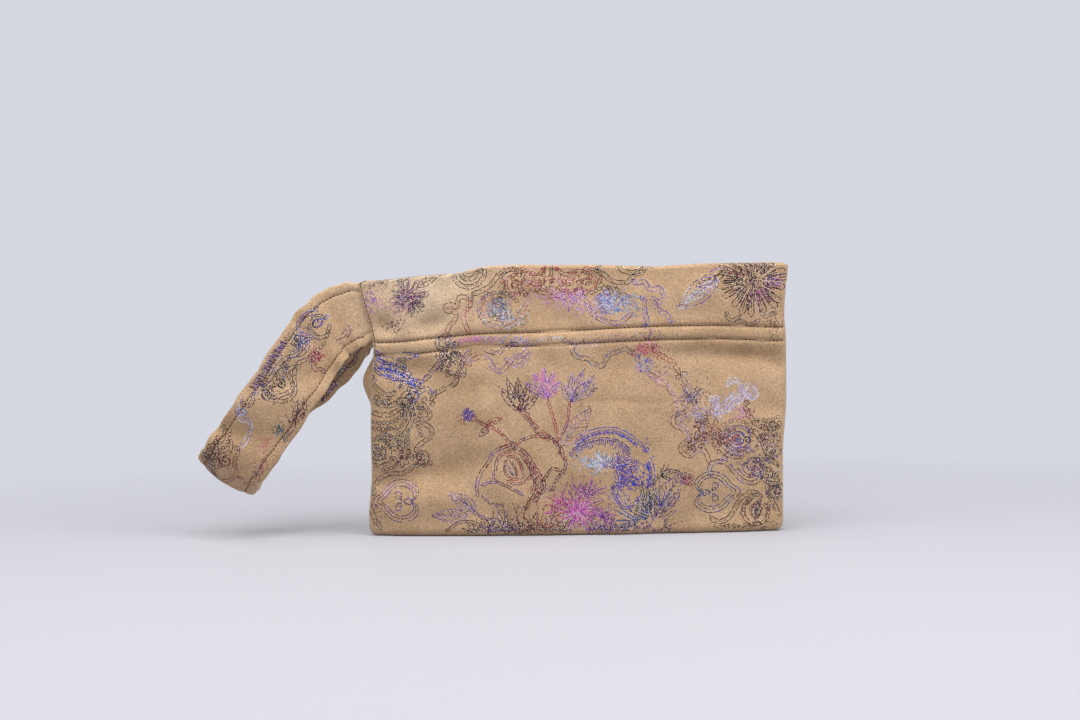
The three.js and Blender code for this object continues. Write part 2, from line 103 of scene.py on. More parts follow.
def left_edge(z):
    """The left side: flared low down, and drawn out by the strap above."""
    flare = 3 * bump(z - 12, 18) + 1.2 * bump(z - 60, 28)
    return -HALF_WIDTH - 0.9 - flare + 1.5 * ramp(94, 114, z) - 8.8 * ramp(116, 162, z)


def right_edge(z):
    """The right side: fuller above the middle, with a slight waist under the mouth."""
    return HALF_WIDTH - 1.9 + 2.4 * ramp(45, 85, z) - bump(z - 135, 10) + 1.4 * ramp(148, 163, z)


def pillow_depth(s, z):
    """Half the depth: along the middle a quarter sine out to the belly and a 1.35 power in to the mouth,
    and across from there to the sides' own depth as 1 minus s to the power 2.4."""
    low = mix(BASE_HALF, BELLY_HALF, np.sin(np.pi / 2 * np.clip(z / BELLY_HEIGHT, 0, 1)))
    rise = np.clip((z - BELLY_HEIGHT) / (BODY_HEIGHT - BELLY_HEIGHT), 0, 1)
    middle = np.where(z < BELLY_HEIGHT, low, mix(BELLY_HALF, MOUTH_HALF, rise ** 1.35))
    return SIDE_HALF + (middle - SIDE_HALF) * (1 - np.abs(s) ** 2.4)


def snap_pull(x, z):
    """1 on the flat patch at the snap, easing to 0 across and up and down."""
    return (1 - ramp(15, 46, np.abs(x))) * (1 - ramp(13, 27, np.abs(z - SNAP_HEIGHT)))


# Slack folds, as middle x, middle z, length, width, turn in degrees, depth
CREASES = {
    FRONT: [
        (96, 109.5, 33, 5, -2, -3.8), (97, 98, 38, 15, -3, -2.3), (120, 103, 12, 4.5, -14, -1.9),
        (118, 76, 10, 5, -4, -1.3), (-105, 103, 14, 6, 8, -2.4), (-84, 41, 32, 10, 12, -3.7),
        (-115, 34, 14, 5, 14, -3.4), (-88, 22, 27, 9, 10, 1.2), (-86, 47, 34, 20, 13, -2.2),
        (80, 15, 18, 8, 10, -1.8), (-91, 131, 10, 5.5, 16, -4.0), (-120, 130, 7, 5.5, -14, -3.6),
        (-72, 131, 18, 8, 3, 1.0), (-70, 158, 26, 8, 3, -0.8), (70, 148, 46, 11, 1, 1.2),
        (30, 82, 28, 2.4, -2, -0.5), (-45, 12, 30, 9, -6, -1.1), (104, 45, 16, 8, 30, -1.1),
        (-20, 104, 40, 10, -2, -0.9),
    ],
    BACK: [
        (-70, 103, 34, 6, 3, -1.8), (60, 60, 40, 14, -18, -1.1), (-60, 40, 30, 10, 14, -1.0),
        (85, 139, 9, 8, 6, -1.0), (95, 104, 20, 6, -6, -1.4),
    ],
}


def slack_folds(side, x, z):
    """The sum of the panel's folds, each a bell along its length times a bell across it."""
    total = np.zeros(np.broadcast(x, z).shape)
    for at_x, at_z, length, width, turn, depth in CREASES[side]:
        c, s = math.cos(math.radians(turn)), math.sin(math.radians(turn))
        along, across = (x - at_x) * c + (z - at_z) * s, (z - at_z) * c - (x - at_x) * s
        total = total + depth * bump(along, length) * bump(across, width)
    return total


def crumple(x, z, seed):
    """Soft unevenness: ten waves in mixed directions, 13 to 60 mm long and about a hundredth as high, each
    bent by a slower one."""
    dice = np.random.default_rng(seed)
    total = np.zeros(np.broadcast(x, z).shape)
    for length in np.geomspace(13, 60, 10):
        turn, phase, bend = dice.uniform(0, np.pi), dice.uniform(0, 6.3), dice.uniform(0, 6.3)
        along, across = x * math.cos(turn) + z * math.sin(turn), z * math.cos(turn) - x * math.sin(turn)
        wave = np.sin(2 * np.pi * along / length + phase + 1.6 * np.sin(across / length * 2.1 + bend))
        total = total + 0.0105 * length * wave * (0.6 + 0.4 * np.sin(across / 31 + phase))
    return total


def seam_half_gap(s, z):
    """How far a panel's edge stands from the seam plane: close, but apart where the strap's ends lie."""
    room = ramp(STRAP_ROOM_LOW - 8, STRAP_ROOM_LOW, z) * (1 - ramp(STRAP_ROOM_HIGH, STRAP_ROOM_HIGH + 5, z))
    return np.where(s < 0, mix(SEAM_GAP, STRAP_ROOM_HALF, room), SEAM_GAP)


def edge_round(s):
    """1 over most of the width, falling to 0 on a quarter circle in the last stretch before a side seam."""
    into = np.clip((np.abs(s) - SIDE_ROUND) / (1 - SIDE_ROUND), 0, 1)
    return np.sqrt(1 - into ** 2)


def corner_lift(s):
    """The height of the base's edge: level, and rounded up to the corner radius at the side seams."""
    return CORNER_RADIUS * (1 - edge_round(s))


def heel_foot(s, depth):
    """Half the flat base's depth: a heel's radius less than the face above, but at least the seam's gap."""
    return np.maximum(seam_half_gap(s, 0 * s), depth - HEEL_RADIUS * edge_round(s))


def facing_across(s):
    """x on the facing, in even steps between its two ends."""
    return mix(FACING_LEFT, FACING_RIGHT, (s + 1) / 2)


def across_at(side, s, z, slack):
    """x between the two side edges; on the back panel the left edge also swells out below the strap."""
    x = mix(left_edge(z), right_edge(z), (s + 1) / 2)
    swell = BACK_SWELL * bump(z - BACK_SWELL_HEIGHT, BACK_SWELL_REACH)
    swell = swell * ramp(0.8, 0.97, -s) * (1 - ramp(0.985, 1, -s))
    return x - swell if side == BACK and slack else x


def outer_depth(side, s, z, above_row, slack, grooved):
    """The pillow, less the snap's dimple and the stitched grooves, plus the slack folds, and fine puckers
    along the stitching, rounded over by a quarter ellipse to the seam at each side."""
    x = across_at(side, s, z, slack)
    full = pillow_depth(s, z) - SNAP_DIMPLE * snap_pull(x, z)
    if slack:
        full = full + slack_folds(side, x, z)
    if grooved:
        rows = bump(above_row, ROW_GROOVE_WIDTH) + bump(above_row + ROW_SPACING, ROW_GROOVE_WIDTH)
        near = bump(above_row + ROW_SPACING / 2, PUCKER_REACH)
        pucker = np.sin(x * 0.83 + 1.3 * np.sin(x * 0.11)) + 0.7 * np.sin(x * 1.31 + 2 + z * 0.05)
        puff = PUFF_BETWEEN * bump(above_row + ROW_SPACING / 2, PUFF_WIDTH)
        puff = puff + PUFF_ABOVE * bump(above_row - 4, PUFF_WIDTH)
        full = full - ROW_GROOVE * rows + puff + PUCKER * near * pucker + crumple(x, z, 5 + side)
    edge = seam_half_gap(s, z)
    return edge + (full - edge) * edge_round(s)


def facing_gap(x, z):
    """From the seam plane to a facing's right side: the pillow less a fold's depth, drawn in at the snap."""
    return mix(pillow_depth(x / HALF_WIDTH, z) - FOLD_DEPTH, SNAP_FACING_GAP, snap_pull(x, z))


def panel_zone(side, s, zone, share, slack, grooved):
    """Points of one zone of a panel, as rows of share by columns of s: along the base, round the heel on a
    quarter ellipse, up the body, the rows and the band, over the fold on a half ellipse, down the facing."""
    s, share = s[None, :], share[:, None]
    nominal = s * HALF_WIDTH
    upper = upper_row_height(nominal)
    lower = upper - ROW_SPACING
    lip = mouth_height(nominal) - FOLD_DEPTH / 2
    heel_top = corner_lift(s) + HEEL_RADIUS
    facing_x = facing_across(s)

    def face(z):
        return across_at(side, s, z, slack), outer_depth(side, s, z, z - upper, slack, grooved), z

    if zone in ("base", "heel"):
        x, depth, _ = face(heel_top)
        flat, turn = heel_foot(s, depth), share * np.pi / 2
        if zone == "base":
            depth, z = mix(seam_half_gap(s, 0 * s), flat, share), corner_lift(s) + BASE_RISE * share
        else:
            depth, z = mix(flat, depth, np.sin(turn)), heel_top - HEEL_RADIUS * np.cos(turn)
    elif zone == "body":
        x, depth, z = face(mix(heel_top, lower, share))
    elif zone == "rows":
        x, depth, z = face(mix(lower, upper, share))
    elif zone == "band":
        x, depth, z = face(mix(upper, lip, share))
    elif zone == "fold":
        out_x, out, _ = face(lip)
        inner, turn = facing_gap(facing_x, lip), share * np.pi
        x = mix(out_x, facing_x, (1 - np.cos(turn)) / 2)
        depth = (out + inner) / 2 + (out - inner) / 2 * np.cos(turn)
        z = lip + FOLD_DEPTH / 2 * np.sin(turn)
    else:
        z = mix(lip, upper_row_height(facing_x) - ROW_SPACING - FACING_BELOW_ROWS, share)
        dent = np.minimum(0, slack_folds(side, facing_x, z)) if slack else 0
        x, depth = facing_x, facing_gap(facing_x, z) + 0.8 * dent
    return np.stack([a + 0 * (s + share) for a in (x, side * depth, z)], axis=-1)


def panel_grid(side, s, counts, slack, grooved, last_share=1.0):
    """The zones one after another, and each row's flag for whether its ends lie in the side seams."""
    grids, on_seam = [], []
    for k, (zone, count) in enumerate(counts.items()):
        reach = last_share if k == len(counts) - 1 else 1.0
        share = np.linspace(0, reach, count + 1)[0 if k == 0 else 1:]
        share = {"body": 1 - (1 - share) ** 1.5, "band": share ** 1.5}.get(zone, share)
        grids.append(panel_zone(side, s, zone, share, slack, grooved))
        on_seam += [zone not in ("fold", "facing")] * len(share)
    return np.concatenate(grids), np.array(on_seam)


def inward(grid, on_seam, distance, side):
    """The grid moved against its normals, the cross product of its two directions. Points on a seam stay in
    its plane, the bottom corners go in and up, and none crosses to the other panel's side."""
    normal = -side * np.cross(np.gradient(grid, axis=1), np.gradient(grid, axis=0))
    normal[0, :, 1] = 0
    normal[on_seam, 0, 1] = 0
    normal[on_seam, -1, 1] = 0
    corner = np.linalg.norm(normal, axis=-1) < 1e-6
    out = np.sign(grid[corner, 0])
    normal[corner] = np.stack([out, 0 * out, 0 * out - 1], axis=-1)
    normal /= np.linalg.norm(normal, axis=-1, keepdims=True)
    moved = grid - normal * (distance[..., None] if np.ndim(distance) else distance)
    moved[..., 1] = side * np.maximum(SEAM_GAP, side * moved[..., 1])
    return moved


def put_mesh(name, points, quads, uv=None):
    """A mesh object from points in millimetres and quads of indices, smooth, with a place for each point on
    the flat cloth as its UV."""
    mesh = bpy.data.meshes.new(name)
    mesh.vertices.add(len(points))
    metres = (points + [0, SEAM_BEHIND_ORIGIN, 0]) / 1000
    mesh.vertices.foreach_set("co", metres.astype(np.float32).ravel())
    mesh.loops.add(quads.size)
    mesh.loops.foreach_set("vertex_index", quads.astype(np.int32).ravel())
    mesh.polygons.add(len(quads))
    mesh.polygons.foreach_set("loop_start", np.arange(0, quads.size, quads.shape[1], dtype=np.int32))
    mesh.update(calc_edges=True)
    mesh.polygons.foreach_set("use_smooth", np.ones(len(quads), bool))
    if uv is not None:
        layer = mesh.uv_layers.new(name="cloth")
        layer.data.foreach_set("uv", uv[quads.ravel()].astype(np.float32).ravel())
    mesh.validate()
    piece = bpy.data.objects.new(name, mesh)
    bpy.context.collection.objects.link(piece)
    return piece


def grid_quads(rows, columns, first=0):
    """Quads over a grid of points numbered row by row from first."""
    index = first + np.arange(rows * columns).reshape(rows, columns)
    return np.stack([index[:-1, :-1], index[:-1, 1:], index[1:, 1:], index[1:, :-1]], axis=-1).reshape(-1, 4)


def cloth_solid(name, right, wrong, flip):
    """A closed sheet between two grids: the right side, the wrong side turned over, and a rim between."""
    rows, columns = right.shape[:2]
    count = rows * columns
    index = np.arange(count).reshape(rows, columns)
    ring = np.concatenate([index[0, :-1], index[:-1, -1], index[-1, :0:-1], index[:0:-1, 0]])
    follow = np.roll(ring, -1)
    rim = np.stack([follow, ring, ring + count, follow + count], axis=-1)
    quads = np.concatenate([grid_quads(rows, columns), grid_quads(rows, columns, count)[:, ::-1], rim])
    step = np.linalg.norm(np.diff(right, axis=0), axis=-1).mean(axis=1)
    along = np.concatenate([[0], np.cumsum(step)])
    flat = np.stack([right[..., 0], np.broadcast_to(along[:, None], (rows, columns))], axis=-1).reshape(-1, 2)
    points = np.concatenate([right.reshape(-1, 3), wrong.reshape(-1, 3)])
    return put_mesh(name, points, quads[:, ::-1] if flip else quads, np.concatenate([flat, flat]) / 1000)


def columns_across(count):
    """Columns from -1 to 1, closer together towards the seams: part even, part sine."""
    level = np.linspace(-1, 1, count + 1)
    return 0.55 * level + 0.45 * np.sin(np.pi / 2 * level)


PANEL_ROWS = {"base": 4, "heel": 8, "body": 88, "rows": 26, "band": 32, "fold": 12, "facing": 22}
PANEL_COLUMNS = 220
panels = {}
for side, name in ((FRONT, "front_panel"), (BACK, "back_panel")):
    across = columns_across(PANEL_COLUMNS)
    right, on_seam = panel_grid(side, across, PANEL_ROWS, True, True)
    smooth, _ = panel_grid(side, across, PANEL_ROWS, True, False)
    piece = cloth_solid(name + "_suede", right, inward(smooth, on_seam, SUEDE, side), side == BACK)
    panels[side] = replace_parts(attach(piece, "root"), name)


def node_tools(tree):
    """For a tree of nodes: a function that adds a node with its settings, and one that links two nodes."""

    def node(kind, **settings):
        made = tree.nodes.new("ShaderNode" + kind)
        for key, value in settings.items():
            if key.startswith("in_"):
                made.inputs[key[3:].replace("_", " ")].default_value = value
            else:
                setattr(made, key, value)
        return made

    def link(source, output, target, entry):
        tree.links.new(source.outputs[output], target.inputs[entry])

    return node, link


def new_material(name, **finish):
    """A material with its shader's inputs set from finish, and the two functions for its nodes."""
    material = bpy.data.materials.new(name)
    material.use_nodes = True
    shader = material.node_tree.nodes["Principled BSDF"]
    for key, value in finish.items():
        shader.inputs[key.replace("_", " ")].default_value = value
    return material, shader, *node_tools(material.node_tree)


def linear(red, green, blue):
    """A colour given as 0 to 255 on screen, as the scene-linear colour that a shader takes."""
    c = np.array([red, green, blue]) / 255
    return (*np.where(c <= 0.04045, c / 12.92, ((c + 0.055) / 1.055) ** 2.4), 1.0)


def two_tone(node, dark, light, start=0.0, end=1.0):
    """A colour ramp that is dark up to start and light from end."""
    made = node("ValToRGB")
    for stop, position, colour in zip(made.color_ramp.elements, (start, end), (dark, light)):
        stop.position, stop.color = position, colour
    return made


suede, shader, node, link = new_material(
    "tan_faux_suede", Roughness=0.95, Specular_IOR_Level=0.15,
    Sheen_Weight=0.5, Sheen_Roughness=0.45, Sheen_Tint=linear(236, 226, 212),
)
place = node("TexCoord")
brushed = node("TexNoise", in_Scale=38.0, in_Detail=3.0, in_Roughness=0.6)
nap = node("TexNoise", in_Scale=1000.0, in_Detail=2.0, in_Roughness=0.7)
shade = two_tone(node, linear(169, 138, 106), linear(185, 155, 124), 0.3, 0.7)
grain = two_tone(node, (0.72, 0.71, 0.7, 1), (1.26, 1.26, 1.26, 1), 0.32, 0.68)
# A painted highlight, paler round the strap's root, whose place is in metres, as nodes take it.
STRAP_ROOT = (-0.1, 0, 0.166)
reach = node("VectorMath", operation="DISTANCE")
reach.inputs[1].default_value = STRAP_ROOT
wear_and_highlight = node(
    "MapRange", interpolation_type="SMOOTHSTEP", in_From_Min=0.065, in_From_Max=0.01, in_To_Max=0.65
)
# The painted highlight's pale tone, mixed in more the nearer the strap's root.
painted_highlight = node("Mix", data_type="RGBA", in_B=linear(208, 188, 162))
tint = node("Mix", data_type="RGBA", blend_type="MULTIPLY", in_Factor=1.0)
raised = node("Bump", in_Strength=0.5, in_Distance=0.0004)
link(place, "Object", reach, 0)
link(place, "Object", brushed, "Vector")
link(place, "Object", nap, "Vector")
link(reach, "Value", wear_and_highlight, "Value")
link(brushed, "Fac", shade, "Fac")
link(nap, "Fac", grain, "Fac")
link(wear_and_highlight, "Result", painted_highlight, "Factor")
link(shade, "Color", painted_highlight, "A")
link(painted_highlight, "Result", tint, "A")
link(grain, "Color", tint, "B")
link(tint, "Result", shader, "Base Color")
link(nap, "Fac", raised, "Height")
link(raised, "Normal", shader, "Normal")
for panel in panels.values():
    panel.data.materials.append(suede)

# The linings
# Two plain woven panels, sewn at the sides and base like the outer ones. They hang loose inside,
# with their top edges caught under the facings by the two rows of stitching.
LINING, LINING_CLEAR, LINING_SLACK = 0.6, 0.35, 2.6
LINING_ROWS, LINING_COLUMNS = {"base": 3, "heel": 5, "body": 36, "rows": 4}, 96
LINING_TOP = 0.5  # as a share of the way between the two rows of stitching
linings = {}
for side, name in ((FRONT, "front_lining"), (BACK, "back_lining")):
    across = columns_across(LINING_COLUMNS)
    grid, on_seam = panel_grid(side, across, LINING_ROWS, False, False, LINING_TOP)
    below = upper_row_height(grid[..., 0]) - ROW_SPACING - grid[..., 2]
    dent = np.maximum(0, -slack_folds(side, grid[..., 0], grid[..., 2]))
    hang = SUEDE + LINING_CLEAR + (LINING_SLACK + dent) * ramp(3, 9, below)
    outside, inside = inward(grid, on_seam, hang, side), inward(grid, on_seam, hang + LINING, side)
    piece = cloth_solid(name + "_cloth", outside, inside, side == BACK)
    linings[side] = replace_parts(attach(piece, "root"), name)

lining_cloth, shader, node, link = new_material("woven_lining", Roughness=0.75, Sheen_Weight=0.25)
WEAVE = {"in_Scale": 570.0, "in_Distortion": 0.6, "in_Detail": 1.0, "in_Detail_Scale": 0.3}
place = node("TexCoord")
slub = node("TexNoise", in_Scale=260.0, in_Detail=2.0)
over = node("Math", operation="MAXIMUM")
uneven = node("Math", operation="MULTIPLY")
yarn = two_tone(node, linear(96, 79, 62), linear(160, 139, 114), 0.12, 0.6)
raised = node("Bump", in_Strength=0.6, in_Distance=0.0002)
for k, direction in enumerate("XY"):
    yarns = node("TexWave", bands_direction=direction, **WEAVE)
    link(place, "UV", yarns, "Vector")
    link(yarns, "Fac", over, k)
link(place, "UV", slub, "Vector")
link(over, "Value", uneven, 0)
link(slub, "Fac", uneven, 1)
link(uneven, "Value", yarn, "Fac")
link(yarn, "Color", shader, "Base Color")
link(over, "Value", raised, "Height")
link(raised, "Normal", shader, "Normal")
for lining in linings.values():
    lining.data.materials.append(lining_cloth)

# The wrist strap
# A strip of the same suede, folded to four layers and stitched flat along both edges. It makes a loop,
# and its two ends lie one on the other in the left side seam.
STRAP_WIDTH, STRAP_END_WIDTH, STRAP_THICKNESS, STRAP_HEM = 42.0, 33.0, 2.6, 6.0
STRAP_LENGTH, STRAP_STEPS, STRAP_FLAT, FLAT_POINTS, EDGE_POINTS = 310.0, 420, 0.95, 61, 8
# The share of the way at which it has its full width, then the place and length, as shares, and the depth of
# the tuck in its lower edge and of the lag of its edges at the far end, and that lag's direction
STRAP_ENDS, STRAP_TUCK, STRAP_LAG = 0.11, (0.19, 0.035, 4.2), (0.5, 0.075, 4.5)
LAG_WAY = [0.58, 0, 0.81]
# Soft folds across it, as share of the way, length, lean and depth
STRAP_FOLDS = [
    (0.365, 0.016, 0.02, 1.5), (0.4, 0.02, 0.02, -1.0), (0.235, 0.014, -0.02, 1.1),
    (0.292, 0.016, 0.035, 1.7), (0.32, 0.022, 0.03, -1.0), (0.15, 0.015, 0.0, 0.7),
    (0.64, 0.02, -0.02, 1.0), (0.76, 0.016, 0.02, 0.9), (0.455, 0.02, 0.0, 0.9),
]
# Its middle line, as x, y, z and the lean of its width in degrees
STRAP_STOPS = np.array([
    (-122.3, -1.55, 141.3, 105), (-134, -1.6, 138.6, 105), (-145, -4, 135, 108), (-154.5, -9, 128.5, 119),
    (-164, -12.5, 116.5, 135), (-183.5, -16, 88, 145), (-204, -14, 60, 145), (-216.5, -9.5, 43, 145),
    (-221.5, 0, 35.5, 145), (-215.5, 9.5, 44, 145), (-203, 13.5, 62, 146), (-187, 16.5, 86, 144),
    (-166, 16, 103, 135), (-153.5, 12, 116, 138), (-144, 5.2, 129, 124), (-134, 1.6, 137.6, 106),
    (-122.3, 1.55, 141.3, 105),
])


def strap_line(share):
    """A centripetal Catmull-Rom curve through the stops: between two stops a cubic whose end slopes come
    from the neighbours, with each stretch timed by the square root of its length."""
    stops = STRAP_STOPS[:, :3]
    padded = np.concatenate([[2 * stops[0] - stops[1]], stops, [2 * stops[-1] - stops[-2]]])
    place = share * (len(stops) - 1)
    k = np.clip(place.astype(int), 0, len(stops) - 2)
    t = (place - k)[:, None]
    p = [padded[k + i] for i in range(4)]
    d = [np.sqrt(np.linalg.norm(p[i + 1] - p[i], axis=-1, keepdims=True)) for i in range(3)]
    m1 = d[1] * ((p[1] - p[0]) / d[0] - (p[2] - p[0]) / (d[0] + d[1]) + (p[2] - p[1]) / d[1])
    m2 = d[1] * ((p[2] - p[1]) / d[1] - (p[3] - p[1]) / (d[1] + d[2]) + (p[3] - p[2]) / d[2])
    a, b = 2 * (p[1] - p[2]) + m1 + m2, 3 * (p[2] - p[1]) - 2 * m1 - m2
    return p[1] + m1 * t + b * t ** 2 + a * t ** 3, m1 + 2 * b * t + 3 * a * t ** 2


def strap_frame(share):
    """At each share of the way: the middle point, the direction across, half the width with a slow waver of
    two sines, and the normal."""
    at, tangent = strap_line(share)
    tangent = tangent / np.linalg.norm(tangent, axis=-1, keepdims=True)
    place = share * (len(STRAP_STOPS) - 1)
    k = np.clip(place.astype(int), 0, len(STRAP_STOPS) - 2)
    lean = np.radians(mix(STRAP_STOPS[k, 3], STRAP_STOPS[k + 1, 3], ramp(0, 1, place - k)))
    up = np.stack([np.cos(lean), 0 * lean, np.sin(lean)], axis=-1)
    across = up - tangent * (up * tangent).sum(-1, keepdims=True)
    across /= np.linalg.norm(across, axis=-1, keepdims=True)
    full = ramp(0, STRAP_ENDS, share) * ramp(0, STRAP_ENDS, 1 - share)
    uneven = full * (0.35 * np.sin(97 * share) + 0.3 * np.sin(153 * share + 2))
    return at, across, mix(STRAP_END_WIDTH, STRAP_WIDTH, full) / 2 + uneven, np.cross(across, tangent)


def strap_point(share, w, height):
    """A point on the strap: w from -1 to 1 across it, height above its middle layer, less the bells of its
    soft folds and of the slack tuck where it turns down. At the far end both edges lag behind the middle."""
    at, across, half, normal = strap_frame(share)
    tuck = STRAP_TUCK[2] * bump(share - STRAP_TUCK[0], STRAP_TUCK[1])[:, None] * ramp(0.1, 1, -w)
    lag = STRAP_LAG[2] * bump(share - STRAP_LAG[0], STRAP_LAG[1])[:, None] * w ** 2
    for at_share, length, lean, depth in STRAP_FOLDS:
        tuck = tuck + depth * bump(share[:, None] - at_share - lean * w, length)
    point = at[:, None] + across[:, None] * (w * half[:, None])[..., None]
    return point + lag[..., None] * LAG_WAY + normal[:, None] * (height - tuck)[..., None]


def hem_height(from_edge):
    """Half the strap's thickness at a distance from its edge: sunk at the stitching, puffed on both sides."""
    sunk = 0.5 * bump(from_edge - STRAP_HEM, 0.9)
    hem = 0.3 * bump(from_edge - STRAP_HEM / 2, 2.2)
    field = 0.15 * bump(from_edge - STRAP_HEM * 1.5, 2.5)
    return STRAP_THICKNESS / 2 * (1 - sunk + hem + field)


share = np.linspace(0, 1, STRAP_STEPS + 1)
flat = np.linspace(-STRAP_FLAT, STRAP_FLAT, FLAT_POINTS)
turn = np.linspace(np.pi / 2, -np.pi / 2, EDGE_POINTS + 2)[1:-1]
edge_w = STRAP_FLAT + (1 - STRAP_FLAT) * np.cos(turn)
section_w = np.concatenate([flat, edge_w, flat[::-1], -edge_w])
section_h = np.concatenate([0 * flat + 1, np.sin(turn), 0 * flat - 1, -np.sin(turn)])
section_h = section_h * hem_height((1 - np.abs(section_w)) * STRAP_WIDTH / 2)
rings = strap_point(share, section_w[None, :], section_h[None, :])
count = len(section_w)
index = np.arange(len(share) * count).reshape(len(share), count)
follow = np.roll(index, -1, axis=1)
walls = np.stack([index[:-1], follow[:-1], follow[1:], index[1:]], axis=-1).reshape(-1, 4)
# Each end is closed by a strip of quads from one face to the other.
upper = np.arange(-EDGE_POINTS // 2, FLAT_POINTS + EDGE_POINTS // 2 - 1)
lower = FLAT_POINTS * 2 + EDGE_POINTS - 1 - upper
strip = np.stack([upper, upper + 1, lower - 1, lower], axis=-1) % count
walls = np.concatenate([walls, strip[:, ::-1], strip + (len(share) - 1) * count])
along = np.repeat(np.linspace(0, STRAP_LENGTH / 1000, len(share)), count)
cloth = np.stack([np.tile(section_w * STRAP_WIDTH / 2000, len(share)), along], axis=-1)
strap = put_mesh("wrist_strap_suede", rings.reshape(-1, 3), walls, cloth)
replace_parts(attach(strap, "root"), "wrist_strap")
strap.data.materials.append(suede)

# The snap
# A magnetic snap in two halves on the facings, pressed from nickel-plated steel. Each half's two prongs go
# through the facing and are folded flat on a washer behind it.
nickel, shader, node, link = new_material("worn_nickel", Metallic=1.0)
place = node("TexCoord")
turned = node("TexNoise", in_Scale=900.0, in_Detail=3.0)
wear_and_highlight = node("TexNoise", in_Scale=160.0, in_Detail=2.0)
plate = two_tone(node, linear(176, 172, 164), linear(216, 213, 206))
polish = node("MapRange", in_To_Min=0.18, in_To_Max=0.42)
fine = node("Bump", in_Strength=0.15, in_Distance=0.0001)
link(place, "Object", turned, "Vector")
link(place, "Object", wear_and_highlight, "Vector")
link(wear_and_highlight, "Fac", plate, "Fac")
link(plate, "Color", shader, "Base Color")
link(wear_and_highlight, "Fac", polish, "Value")
link(polish, "Result", shader, "Roughness")
link(turned, "Fac", fine, "Height")
link(fine, "Normal", shader, "Normal")
for name in ("snap_socket", "snap_stud", "snap_socket_washer", "snap_stud_washer"):
    half = bpy.data.objects[name]
    if not half.material_slots:
        half.data.materials.append(nickel)
    for slot in half.material_slots:
        slot.material = nickel

# The topstitching
# Dark tan thread, in two rows across each panel, a short row up the left seam over the strap's ends, and one
# row inside each edge of the strap. Each stitch lies in the groove that it pulls in the suede, with both ends
# going down through the layers.
STITCH_PITCH, STITCH_LENGTH, THREAD_RADIUS = 2.5, 2.25, 0.32
STITCH_RISE, STITCH_DIP, HEM_SUNK = 0.16, 0.34, 0.62
THREAD_RINGS, THREAD_SIDES, ROW_POINTS = np.array([-1, -0.72, 0, 0.72, 1.0]), 6, 900
ROW_LEFT, ROW_RIGHT = -124.5, 126
SEAM_ROW_LOW, SEAM_ROW_HIGH, SEAM_ROW_IN, SEAM_ROW_POINTS = 117, 158, 1.3, 200
HEM_START, HEM_END = 0.075, 0.925


def along_path(path, pitch):
    """Points at an even pitch along a path, and the direction from a little before to a little after each."""
    step = np.linalg.norm(np.diff(path, axis=0), axis=-1)
    run = np.concatenate([[0], np.cumsum(step)])
    at = np.arange(pitch / 2, run[-1], pitch)

    def point(at):
        return np.stack([np.interp(at, run, path[:, i]) for i in range(3)], axis=-1)

    reach = 0.3
    direction = point(at + reach) - point(at - reach)
    return point(at), direction / np.linalg.norm(direction, axis=-1, keepdims=True)


def stitches(place, direction, normal):
    """For each stitch a thread: rings of six points along its direction, round in section, arched so that
    the middle stands proud and both ends dip into the cloth."""
    normal = normal - direction * (normal * direction).sum(-1, keepdims=True)
    normal = normal / np.linalg.norm(normal, axis=-1, keepdims=True)
    aside = np.cross(direction, normal)
    t = THREAD_RINGS[None, :, None, None]
    turn = np.linspace(0, 2 * np.pi, THREAD_SIDES, endpoint=False)[None, None, :, None]
    thin = THREAD_RADIUS * np.where(np.abs(t) > 0.9, 0.5, 1.0)
    d, n, a, c = (v[:, None, None, :] for v in (direction, normal, aside, place))
    rise = STITCH_RISE - STITCH_DIP * t ** 2
    rings = c + d * t * STITCH_LENGTH / 2 + n * rise + thin * (np.cos(turn) * a + np.sin(turn) * n)
    index = np.arange(rings[..., 0].size).reshape(rings.shape[:3])
    follow = np.roll(index, -1, axis=2)
    walls = np.stack([index[:, :-1], index[:, 1:], follow[:, 1:], follow[:, :-1]], axis=-1).reshape(-1, 4)
    halves = ([0, 1, 2, 3], [0, 3, 4, 5])
    ends = [index[:, 0, half] for half in halves] + [index[:, -1, half[::-1]] for half in halves]
    return rings.reshape(-1, 3), np.concatenate([walls, *ends])


def joined(groups):
    """Several lots of points and quads as one."""
    start = np.cumsum([0] + [len(p) for p, _ in groups[:-1]])
    return np.concatenate([p for p, _ in groups]), np.concatenate([q + s for (_, q), s in zip(groups, start)])


def on_panel(side, x, v, lift):
    """A point on a panel's right side from x across and v up: on the heel's quarter ellipse below, on the
    face, or past the lip by the length of way round the fold, and raised by lift along the normal."""

    def spot(x, v):
        s = np.clip(2 * (x - left_edge(v)) / (right_edge(v) - left_edge(v)) - 1, -1, 1)
        nominal = s * HALF_WIDTH
        lip = mouth_height(nominal) - FOLD_DEPTH / 2
        up = np.minimum(v, lip)
        heel_top = corner_lift(s) + HEEL_RADIUS
        z = np.maximum(up, heel_top)
        depth = outer_depth(side, s, z, z - upper_row_height(nominal), True, True)
        dip = np.arccos(np.clip((heel_top - np.minimum(up, heel_top)) / HEEL_RADIUS, 0, 1))
        depth = np.where(up < heel_top, mix(heel_foot(s, depth), depth, np.sin(dip)), depth)
        turn = np.clip((v - lip) / (FOLD_DEPTH / 2), 0, np.pi)
        facing_x = facing_across(s)
        inner = facing_gap(facing_x, lip)
        over = turn > 0
        depth = np.where(over, (depth + inner) / 2 + (depth - inner) / 2 * np.cos(turn), depth)
        x = mix(across_at(side, s, z, True), facing_x, np.where(over, (1 - np.cos(turn)) / 2, 0))
        return np.stack([x, side * depth, up + FOLD_DEPTH / 2 * np.sin(turn)], axis=-1)

    step = 0.1
    across, up = spot(x + step, v) - spot(x - step, v), spot(x, v + step) - spot(x, v - step)
    normal = -side * np.cross(across, up)
    normal /= np.linalg.norm(normal, axis=-1, keepdims=True)
    return spot(x, v) + normal * lift, normal


